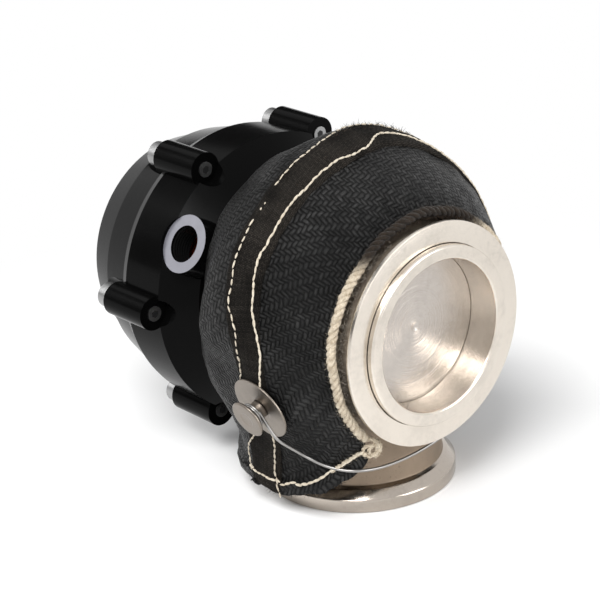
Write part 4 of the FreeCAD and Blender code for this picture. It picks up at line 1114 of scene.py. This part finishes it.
class Recipe:
    """A geometry node tree that sets small pieces on points."""

    def __init__(self, name):
        self.tree = bpy.data.node_groups.new(name, "GeometryNodeTree")
        for way in ("INPUT", "OUTPUT"):
            self.tree.interface.new_socket("Geometry", in_out=way,
                                           socket_type="NodeSocketGeometry")
        self.start = self.tree.nodes.new("NodeGroupInput")
        self.named = {}

    def number(self, name, kind="Float"):
        socket = self.tree.interface.new_socket(name, in_out="INPUT",
                                                socket_type="NodeSocket" + kind)
        self.named[name] = socket.identifier
        return self.start.outputs[name]

    def step(self, kind, settings=None, inputs=None, out=0):
        return add_node(self.tree, kind, settings, inputs).outputs[out]

    def random(self, least, most, seed):
        return self.step("FunctionNodeRandomValue", {"data_type": "FLOAT_VECTOR"},
                         {"Min": least, "Max": most, "Seed": seed})

    def scatter(self, spots, piece, lie, lean, size, least, most, seed, material):
        """Set the piece on each spot, leaning and sized at random, and end the tree."""
        slant = self.random([-angle for angle in lean], lean, seed)
        turned = self.step("FunctionNodeRotateRotation", {"rotation_space": "LOCAL"},
                           {"Rotation": lie, "Rotate By": slant})
        size = self.step("ShaderNodeCombineXYZ", {}, dict(enumerate(size)))
        scale = self.step("ShaderNodeVectorMath", {"operation": "MULTIPLY"},
                          {0: size, 1: self.random(least, most, seed)})
        placed = self.step("GeometryNodeInstanceOnPoints", {}, {
            "Points": spots, "Instance": piece, "Rotation": turned, "Scale": scale})
        real = self.step("GeometryNodeRealizeInstances", {}, {0: placed})
        done = self.step("GeometryNodeSetMaterial", {}, {0: real, "Material": material})
        end = self.tree.nodes.new("NodeGroupOutput")
        self.tree.links.new(done, end.inputs[0])

    def apply(self, thing, **values):
        """Run the tree on an object and keep the result as its mesh."""
        change = thing.modifiers.new("recipe", "NODES")
        change.node_group = self.tree
        for name, value in values.items():
            change[self.named[name]] = value
        baked(thing)


def stitch_recipe():
    """Plump stitches laid end to end along an edge chain, with uneven length and lie."""
    made = Recipe("stitches")
    pitch, length, thread = (made.number(name) for name in ("Pitch", "Length", "Thread"))
    seed = made.number("Seed", "Int")
    curve = made.step("GeometryNodeMeshToCurve", {}, {0: made.start.outputs[0]})
    spots = made.step("GeometryNodeResampleCurve", {"mode": "LENGTH"},
                      {"Curve": curve, "Length": pitch})
    lie = made.step("FunctionNodeAlignRotationToVector", {"axis": "Z"},
                    {"Vector": made.step("GeometryNodeInputTangent")})
    bead = made.step("GeometryNodeMeshUVSphere", {}, {"Segments": 8, "Rings": 7, "Radius": 0.5})
    made.scatter(spots, bead, lie, (0.16, 0.16, 1.0), (thread, thread, length),
                 (0.8, 0.8, 0.82), (1.2, 1.2, 1.12), seed, THREAD)
    return made


def fibre_recipe(name, material):
    """Thin bent fibres that stand out of a surface at random."""
    made = Recipe(name)
    density, length, thick = (made.number(name) for name in ("Density", "Length", "Thick"))
    seed = made.number("Seed", "Int")
    spots = add_node(made.tree, "GeometryNodeDistributePointsOnFaces", {}, {
        "Mesh": made.start.outputs[0], "Density": density, "Seed": seed})
    hair = made.step("GeometryNodeMeshCone", {}, {
        "Vertices": 3, "Side Segments": 4, "Radius Top": 0.3, "Radius Bottom": 1.0,
        "Depth": 1.0})
    height = made.step("ShaderNodeSeparateXYZ", {}, {0: made.step("GeometryNodeInputPosition")},
                       out=2)
    square = made.step("ShaderNodeMath", {"operation": "POWER"}, {0: height, 1: 2.0})
    arch = made.step("ShaderNodeMath", {"operation": "MULTIPLY"}, {0: square, 1: 9.0})
    shift = made.step("ShaderNodeCombineXYZ", {}, {0: arch})
    bent = made.step("GeometryNodeSetPosition", {}, {0: hair, "Offset": shift})
    made.scatter(spots.outputs["Points"], bent, spots.outputs["Rotation"], (1.35, 1.35, 3.1),
                 (thick, thick, length), (0.7, 0.7, 0.3), (1.3, 1.3, 1.0), seed, material)
    return made


# Rows of stitches. Those behind the tape's middle are rear rows; the far side's are guessed.
REAR_ROW_TOP = [(3.0, 4.6, 136.2), (-8.6, 2.3, 135.4), (-17.2, 1.0, 133.5), (-25.0, 0.5, 130.8),
                (-34.1, -0.8, 126.2)]
REAR_ROW_DOTS = [(-41.4, -2.0, 121.0), (-43.2, -2.1, 119.3)]
REAR_ROW = [(-47.6, -1.8, 115.4), (-52.8, -2.1, 109.0), (-56.1, -2.0, 104.2),
            (-59.3, -3.7, 97.9), (-62.3, -4.7, 90.0), (-63.1, -6.7, 85.5), (-63.2, -8.5, 80.3),
            (-62.4, -8.8, 72.3), (-60.3, -7.0, 65.0), (-57.5, -3.5, 60.0)]
FRONT_ROW = [(57.6, -13.8, 57.0), (60.0, -14.4, 70.0), (58.5, -13.0, 84.0),
             (50.0, -11.0, 101.0), (38.0, -9.0, 116.0), (26.0, -6.5, 126.5),
             (13.0, -5.0, 134.0), (1.0, -10.2, 133.6), (-7.0, -11.6, 132.6),
             (-14.2, -10.5, 131.9), (-23.1, -10.8, 129.0), (-30.6, -11.0, 125.4),
             (-37.7, -10.6, 121.1), (-44.2, -10.9, 115.4), (-49.1, -10.8, 110.1),
             (-52.6, -10.4, 105.8), (-55.0, -11.0, 101.5), (-57.3, -12.2, 95.8),
             (-59.0, -13.3, 90.0), (-59.9, -14.8, 83.9), (-60.2, -16.4, 77.7),
             (-60.2, -17.2, 71.2), (-59.9, -16.2, 64.0), (-58.2, -14.2, 56.3)]
FAR_ROW = [(57.5, -3.6, 60.0), (62.0, -4.2, 72.0), (62.5, -3.6, 84.0), (56.1, -1.2, 103.0),
           (47.0, -0.2, 115.5), (34.1, 1.2, 126.6), (17.0, 3.4, 134.0), (3.0, 4.6, 136.2)]
LOW_REAR_ROW = [(-50.0, -1.5, 37.0), (-47.9, 0.9, 33.1), (-46.6, 5.5, 28.3), (-46.0, 7.9, 23.6),
                (-46.0, 8.4, 18.5), (-46.5, 8.1, 15.3)]
LOW_FRONT_ROW = [(-51.0, -10.5, 37.0), (-49.2, -9.6, 32.3), (-47.9, -8.2, 28.0),
                 (-46.9, -6.8, 22.9), (-46.8, -5.7, 18.2), (-46.8, -6.4, 15.0),
                 (-46.8, -6.5, 11.5), (-46.4, -7.2, 8.8)]
HEM_ROW = [(-46.5, 8.1, 15.3), (-47.0, 5.1, 14.4), (-47.3, 1.4, 14.5), (-47.3, -3.3, 14.0),
           (-46.7, -7.6, 14.6), (-46.4, -9.1, 13.7), (-45.4, -12.8, 15.5), (-44.4, -15.9, 15.0),
           (-42.5, -20.0, 16.7), (-40.3, -23.3, 19.3), (-37.8, -27.2, 23.1),
           (-35.0, -31.0, 26.2), (-31.5, -35.6, 30.5)]


def make_row(name, row, recipe, lift, pitch, length, thread, seed):
    """One row of stitches lying on the cloth or the tape, wandering a little to each side."""
    path = to_blanket(curve_through(row, 10))
    normal, _ = field_normal(path)
    across = np.cross(normal, heading(path))
    path = path + normal * lift + across * (0.35 * lattice_noise(path, 5.0, seed))[:, None]
    chain = new_object(name, path, [], edges=[(i, i + 1) for i in range(len(path) - 1)])
    recipe.apply(chain, Pitch=pitch * MM, Length=length * MM, Thread=thread * MM, Seed=seed)
    chain.data.shade_smooth()


def make_stitches():
    recipe = stitch_recipe()
    for index, (name, row, lift, pitch, length, thread) in enumerate((
            ("seam_row_rear_top", REAR_ROW_TOP, 1.25, 2.9, 3.0, 0.62),
            ("seam_row_rear_dots", REAR_ROW_DOTS, 1.2, 1.6, 1.1, 0.6),
            ("seam_row_rear", REAR_ROW, 1.25, 3.1, 2.9, 0.66),
            ("seam_row_far", FAR_ROW, 1.25, 3.1, 2.9, 0.66),
            ("seam_row_front", FRONT_ROW, 1.3, 2.7, 3.3, 0.86),
            ("seam_row_low_rear", LOW_REAR_ROW, 1.45, 2.6, 2.8, 0.7),
            ("seam_row_low_front", LOW_FRONT_ROW, 1.45, 2.8, 3.0, 0.72),
            ("hem_row", HEM_ROW, 1.3, 2.5, 3.1, 1.0))):
        make_row(name, row, recipe, lift, pitch, length, thread, 51 + index)


# Twisted cord round the inlet, by its radius from the valve axis and its place along it

CORD_RADIUS = 44.7
CORD_PLACE = -37.6
TAPER = (0.4, 0.7, 0.9)
STRAND_STEP = 0.42


def cord_line():
    """Centre line of the cord: over the inlet collar, ending in the near side's tangle."""
    turns = np.radians(np.linspace(-50, 229, 300))
    radius = CORD_RADIUS + 0.35 * np.sin(turns * 5.0) + 0.2 * np.sin(turns * 13.0)
    return np.stack([radius * np.cos(turns), CORD_PLACE + 0.25 * np.sin(turns * 7.0),
                     AXIS_HEIGHT + radius * np.sin(turns)], axis=1)


def twisted(line, strands, offset, radius, pitch, seed, sides=9):
    """Strands that wind round a line."""
    length = run_length(line)
    where = np.arange(0, length[-1], STRAND_STEP)
    centre = read_at(where, length, line)
    ahead = heading(centre)
    across = np.cross(ahead, (0.21, 0.93, 0.3))
    across /= np.linalg.norm(across, axis=1, keepdims=True)
    beside = np.cross(ahead, across)
    runs = []
    for strand in range(strands):
        turn = 2 * math.pi * (where / pitch + strand / strands)
        turn = turn + 0.5 * lattice_noise(centre, 6.0, seed + strand)
        path = centre + offset * (np.cos(turn)[:, None] * across + np.sin(turn)[:, None] * beside)
        thick = radius * (1 + 0.22 * lattice_noise(path, 1.3, seed + 10 + strand))
        thick[:3] *= TAPER
        thick[-3:] *= TAPER[::-1]
        runs.append((path, thick, sides))
    return runs


TANGLE = [
    [(-29.0, -38.0, 36.5), (-27.0, -39.2, 34.0), (-25.6, -39.4, 31.2), (-27.0, -39.0, 29.0),
     (-29.2, -38.4, 30.0), (-29.4, -38.6, 32.6), (-27.4, -39.6, 33.2), (-26.4, -39.6, 31.0)],
    [(-30.4, -37.4, 35.4), (-28.2, -38.8, 35.6), (-26.2, -39.4, 33.6), (-26.6, -39.2, 30.4),
     (-28.6, -38.4, 28.8), (-30.6, -37.0, 29.6), (-31.0, -37.0, 32.0), (-29.6, -38.4, 33.4),
     (-28.0, -39.0, 31.8)],
    [(-26.2, -39.0, 35.2), (-24.8, -39.4, 32.4), (-25.2, -39.2, 29.6), (-26.8, -38.4, 27.4)],
    [(-29.6, -37.8, 29.8), (-31.6, -36.0, 30.2), (-34.0, -32.8, 27.4), (-36.6, -29.6, 24.4),
     (-38.6, -26.8, 21.8)],
]


def make_inlet_cord():
    """Three twisted strands, the tangle that they end in, and their fuzz."""
    runs = twisted(cord_line(), 3, 0.86, 1.0, 8.0, 61)
    for index, knot in enumerate(TANGLE):
        runs += twisted(curve_through(knot, 14), 2, 0.34, 0.46, 3.4, 71 + index, sides=7)
    cord = tubes("inlet_cord_twisted", runs, CREAM)
    cord.data.shade_smooth()
    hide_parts("inlet_edge_cord")
    fuzz = add_object("inlet_cord_fuzz", cord.data.copy())
    fibre_recipe("cord_fibres", CREAM).apply(fuzz, Density=1400000.0, Length=1.7 * MM,
                                             Thick=0.04 * MM, Seed=5)
    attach(fuzz, BODY)


def make_fray():
    """Loose dark and brown fibres at the cloth's edges and on the frayed crown of the tape."""
    crown = to_blanket(curve_through([(-6.0, 1.5, 135.5), (8.0, 4.0, 136.0), (22.0, 3.0, 132.5),
                                      (31.0, 0.0, 128.0)], 8))
    hem = curve_through([edge[:3] for edge in NEAR_EDGE[9:21]], 6)
    collar = curve_through([round_valve(a, -38.0, 43.0) for a in range(118, -31, -12)], 8)
    neck = curve_through([round_valve(a, -38.9, 41.6) for a in range(112, 233, 12)], 8)
    for name, path, width, material, density, length, seed in (
            ("crown_fray", crown, 2.4, BROWN_FIBRE, 700000.0, 2.6, 81),
            ("crown_fray_dark", crown, 2.8, DARK_FIBRE, 700000.0, 2.2, 84),
            ("hem_fray", hem, 0.4, DARK_FIBRE, 3000000.0, 1.8, 82),
            ("neck_fray", neck, 1.0, WADDING, 1500000.0, 1.6, 85),
            ("collar_fray", collar, 0.9, BROWN_FIBRE, 2600000.0, 2.2, 83)):
        base = tubes(name, [(path, width / 2, 8)], material)
        fibre_recipe(name + "_fibres", material).apply(
            base, Density=density, Length=length * MM, Thick=0.11 * MM, Seed=seed)


# Lacing: anchors, washers, wraps and the wire

def anchor_line(side):
    """Foot and direction of an anchor."""
    return (ANCHOR_FOOT, tuple(anchor_axis(side)))


def make_anchors():
    """Discs on the tape, spools on them and retaining discs behind the cloth, one each side."""
    face, top = WASHER_FACE, WASHER_FACE + SPOOL_HEIGHT
    washer = [(1.7, face - 0.9), (12.7, face - 0.9), (13.0, face - 0.7), (13.0, face - 0.15),
              (12.8, face), (5.0, face - 0.05), (4.4, face - 0.2), (1.7, face - 0.2)]
    spool = [(0, face - 9.0), (1.6, face - 9.0), (1.6, face), (3.6, face + 0.05),
             (3.45, face + 1.2), (3.45, top - 1.2), (3.6, top), (7.0, top), (7.5, top + 0.4),
             (7.5, top + 0.95), (7.1, top + 1.3), (3.2, top + 1.22), (2.6, top + 1.05),
             (0, top + 1.0)]
    clip = [(1.66, face - 5.1), (6.0, face - 5.1), (6.0, face - 4.5), (1.66, face - 4.5)]
    for node, outline, segments, ease in (("anchor_washers", washer, 128, 0.12),
                                          ("lacing_anchors", spool, 112, 0.15),
                                          ("anchor_clips", clip, 64, 0.1)):
        pair = [lathe("piece", outline, ANCHOR_STEEL, anchor_line(side), segments, ease)
                for side in (-1, 1)]
        joined(node + "_finished", pair, node)


def make_wraps():
    """Two close turns of wire on each spool."""
    runs = []
    for side in (-1, 1):
        foot, way, across, upward = frame_on(anchor_line(side))
        turns = np.linspace(0, 4.3 * math.pi, 110)
        height = WASHER_FACE + 2.75 + 1.7 * turns / turns[-1]
        radius = 4.3 + 0.08 * np.sin(turns * 3)
        path = (foot + way * height[:, None] + radius[:, None]
                * (np.cos(turns)[:, None] * across + np.sin(turns)[:, None] * upward))
        runs.append((path, 0.58, 12))
    wraps = tubes("lacing_wraps_coiled", runs, WIRE_STEEL)
    wraps.data.shade_smooth()
    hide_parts("lacing_wraps")


# The wire's route from the near anchor across the outlet neck to the far anchor, in metres
LACING_ROUTE = [
    (-0.06031, -0.01440, 0.04983), (-0.0592, -0.0182, 0.0440), (-0.0574, -0.0203, 0.0394),
    (-0.0500, -0.0204, 0.0330), (-0.0436, -0.0212, 0.0273), (-0.0398, -0.0258, 0.0243),
    (-0.0358, -0.0312, 0.0229), (-0.0314, -0.0354, 0.0226), (-0.0225, -0.0368, 0.0211),
    (-0.0080, -0.0367, 0.0202), (0.0060, -0.0366, 0.0216), (0.0200, -0.0358, 0.0243),
    (0.0350, -0.0322, 0.0283), (0.0440, -0.0250, 0.0330), (0.0520, -0.0216, 0.0370),
    (0.0578, -0.0203, 0.0398), (0.0592, -0.0182, 0.0440), (0.06031, -0.01440, 0.04983)]


def make_wire():
    """Bright wire that laces one spool to the other across the neck."""
    line = bpy.data.curves.new("lacing_wire_drawn", "CURVE")
    line.dimensions = "3D"
    run = line.splines.new("NURBS")
    run.points.add(len(LACING_ROUTE) - 1)
    for point, place in zip(run.points, LACING_ROUTE):
        point.co = (*place, 1.0)
    run.order_u = 3
    run.use_endpoint_u = True
    run.resolution_u = 12
    line.bevel_depth = 0.6 * MM
    line.bevel_resolution = 5
    line.use_fill_caps = True
    wire = add_object("lacing_wire_drawn", line)
    line.materials.append(WIRE_STEEL)
    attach(wire, BODY)
    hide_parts("lacing_wire")


blanket = make_blanket()
make_wadding(blanket)
make_liner()
make_tape()
make_stitches()
make_inlet_cord()
make_fray()
make_anchors()
make_wraps()
make_wire()


# Camera, light and floor

CAMERA_PLACE = (-0.47004, -0.52735, 0.36026)
# Angle round the object, height angle and roll
CAMERA_TURNS = (-40.13, 22.15, -2.95)
WHITE = (1, 1, 1, 1)
FLOOR_REACH = 3000.0


def make_camera():
    """Camera at the photograph's angle, distance and framing."""
    data = bpy.data.cameras.new("camera")
    data.sensor_width = 36.0
    data.lens = 120.72
    data.shift_x = -0.0025
    data.shift_y = -0.0025
    data.clip_start = 0.05
    camera = add_object("camera", data)
    azimuth, elevation, roll = (math.radians(a) for a in CAMERA_TURNS)
    back = Vector((math.sin(azimuth) * math.cos(elevation),
                   -math.cos(azimuth) * math.cos(elevation), math.sin(elevation)))
    right = Vector((math.cos(azimuth), math.sin(azimuth), 0))
    up = back.cross(right)
    across = right * math.cos(roll) + up * math.sin(roll)
    upward = up * math.cos(roll) - right * math.sin(roll)
    turn = Matrix((across, upward, back)).transposed()
    camera.matrix_world = Matrix.LocRotScale(Vector(CAMERA_PLACE), turn, None)
    bpy.context.scene.camera = camera


def soft_light(name, place, size, power):
    """A wide lamp that faces the object."""
    data = bpy.data.lights.new(name, "AREA")
    data.shape = "RECTANGLE"
    data.size, data.size_y = size
    data.energy = power
    light = add_object(name, data)
    way = Vector((0, 0.01, 0.06)) - Vector(place)
    light.matrix_world = (Matrix.Translation(place)
                          @ way.to_track_quat("-Z", "Y").to_matrix().to_4x4())


def floor_finish():
    """Pale round the object, where its shadow falls, and plain white to look at farther out."""
    finish = Finish("pale_floor", Roughness=0.9, Specular_IOR_Level=0.1,
                    Base_Color=(0.93, 0.93, 0.93, 1))
    x, y, _ = finish.parts(finish.place())
    far = finish.smooth(finish.away(x, y), 110.0, 300.0)
    white = finish.node("Emission", {}, {"Color": WHITE, "Strength": 1.0})
    finish.end(finish.tree.nodes["Material Output"], finish.seen() * far, finish.shader, white)
    return finish.material


def dark_card(name, way, reach, width, height):
    """A dark card behind the object that only its gloss shows, as in a studio."""
    way = Vector(way).normalized()
    across = way.cross((0, 0, 1)).normalized() * width / 2
    upward = across.cross(way).normalized() * height / 2
    middle = way * reach + Vector((0, 10, 70))
    corners = [middle + a * across + b * upward for a, b in ((-1, -1), (1, -1), (1, 1), (-1, 1))]
    card = new_object(name, corners, [(0, 1, 2, 3)], CARD, body=None)
    for ray in ("camera", "diffuse", "transmission", "shadow"):
        setattr(card, "visible_" + ray, False)


def make_stage():
    """Pale floor, and a world that is white to look at and plain as a light."""
    world = bpy.data.worlds.new("studio")
    bpy.context.scene.world = world
    world.use_nodes = True
    world.node_tree.nodes.clear()
    sky = Shading(world.node_tree)
    light, white = (sky.node("Background", {}, {"Color": WHITE, "Strength": strength})
                    for strength in (0.45, 1.0))
    sky.end(sky.node("OutputWorld"), sky.seen(), light, white)
    corners = [(FLOOR_REACH * a, FLOOR_REACH * b, -0.2)
               for a, b in ((-1, -1), (1, -1), (1, 1), (-1, 1))]
    floor = new_object("floor", corners, [(0, 1, 2, 3)], floor_finish(), body=None)


make_camera()
soft_light("key", (-0.55, -0.35, 0.85), (0.5, 0.5), 9.0)
soft_light("front", (0.35, -0.9, 0.35), (0.5, 0.7), 5.0)
soft_light("rim", (-0.5, 0.75, 0.6), (0.5, 0.3), 6.0)
make_stage()
dark_card("card_rear_left", (-0.45, 0.66, 0.60), 900, 620, 620)
dark_card("card_left", (-0.80, 0.50, 0.22), 700, 520, 300)
dark_card("card_rear_right", (0.45, 0.80, 0.42), 900, 700, 420)
bpy.context.scene.view_settings.view_transform = "Standard"
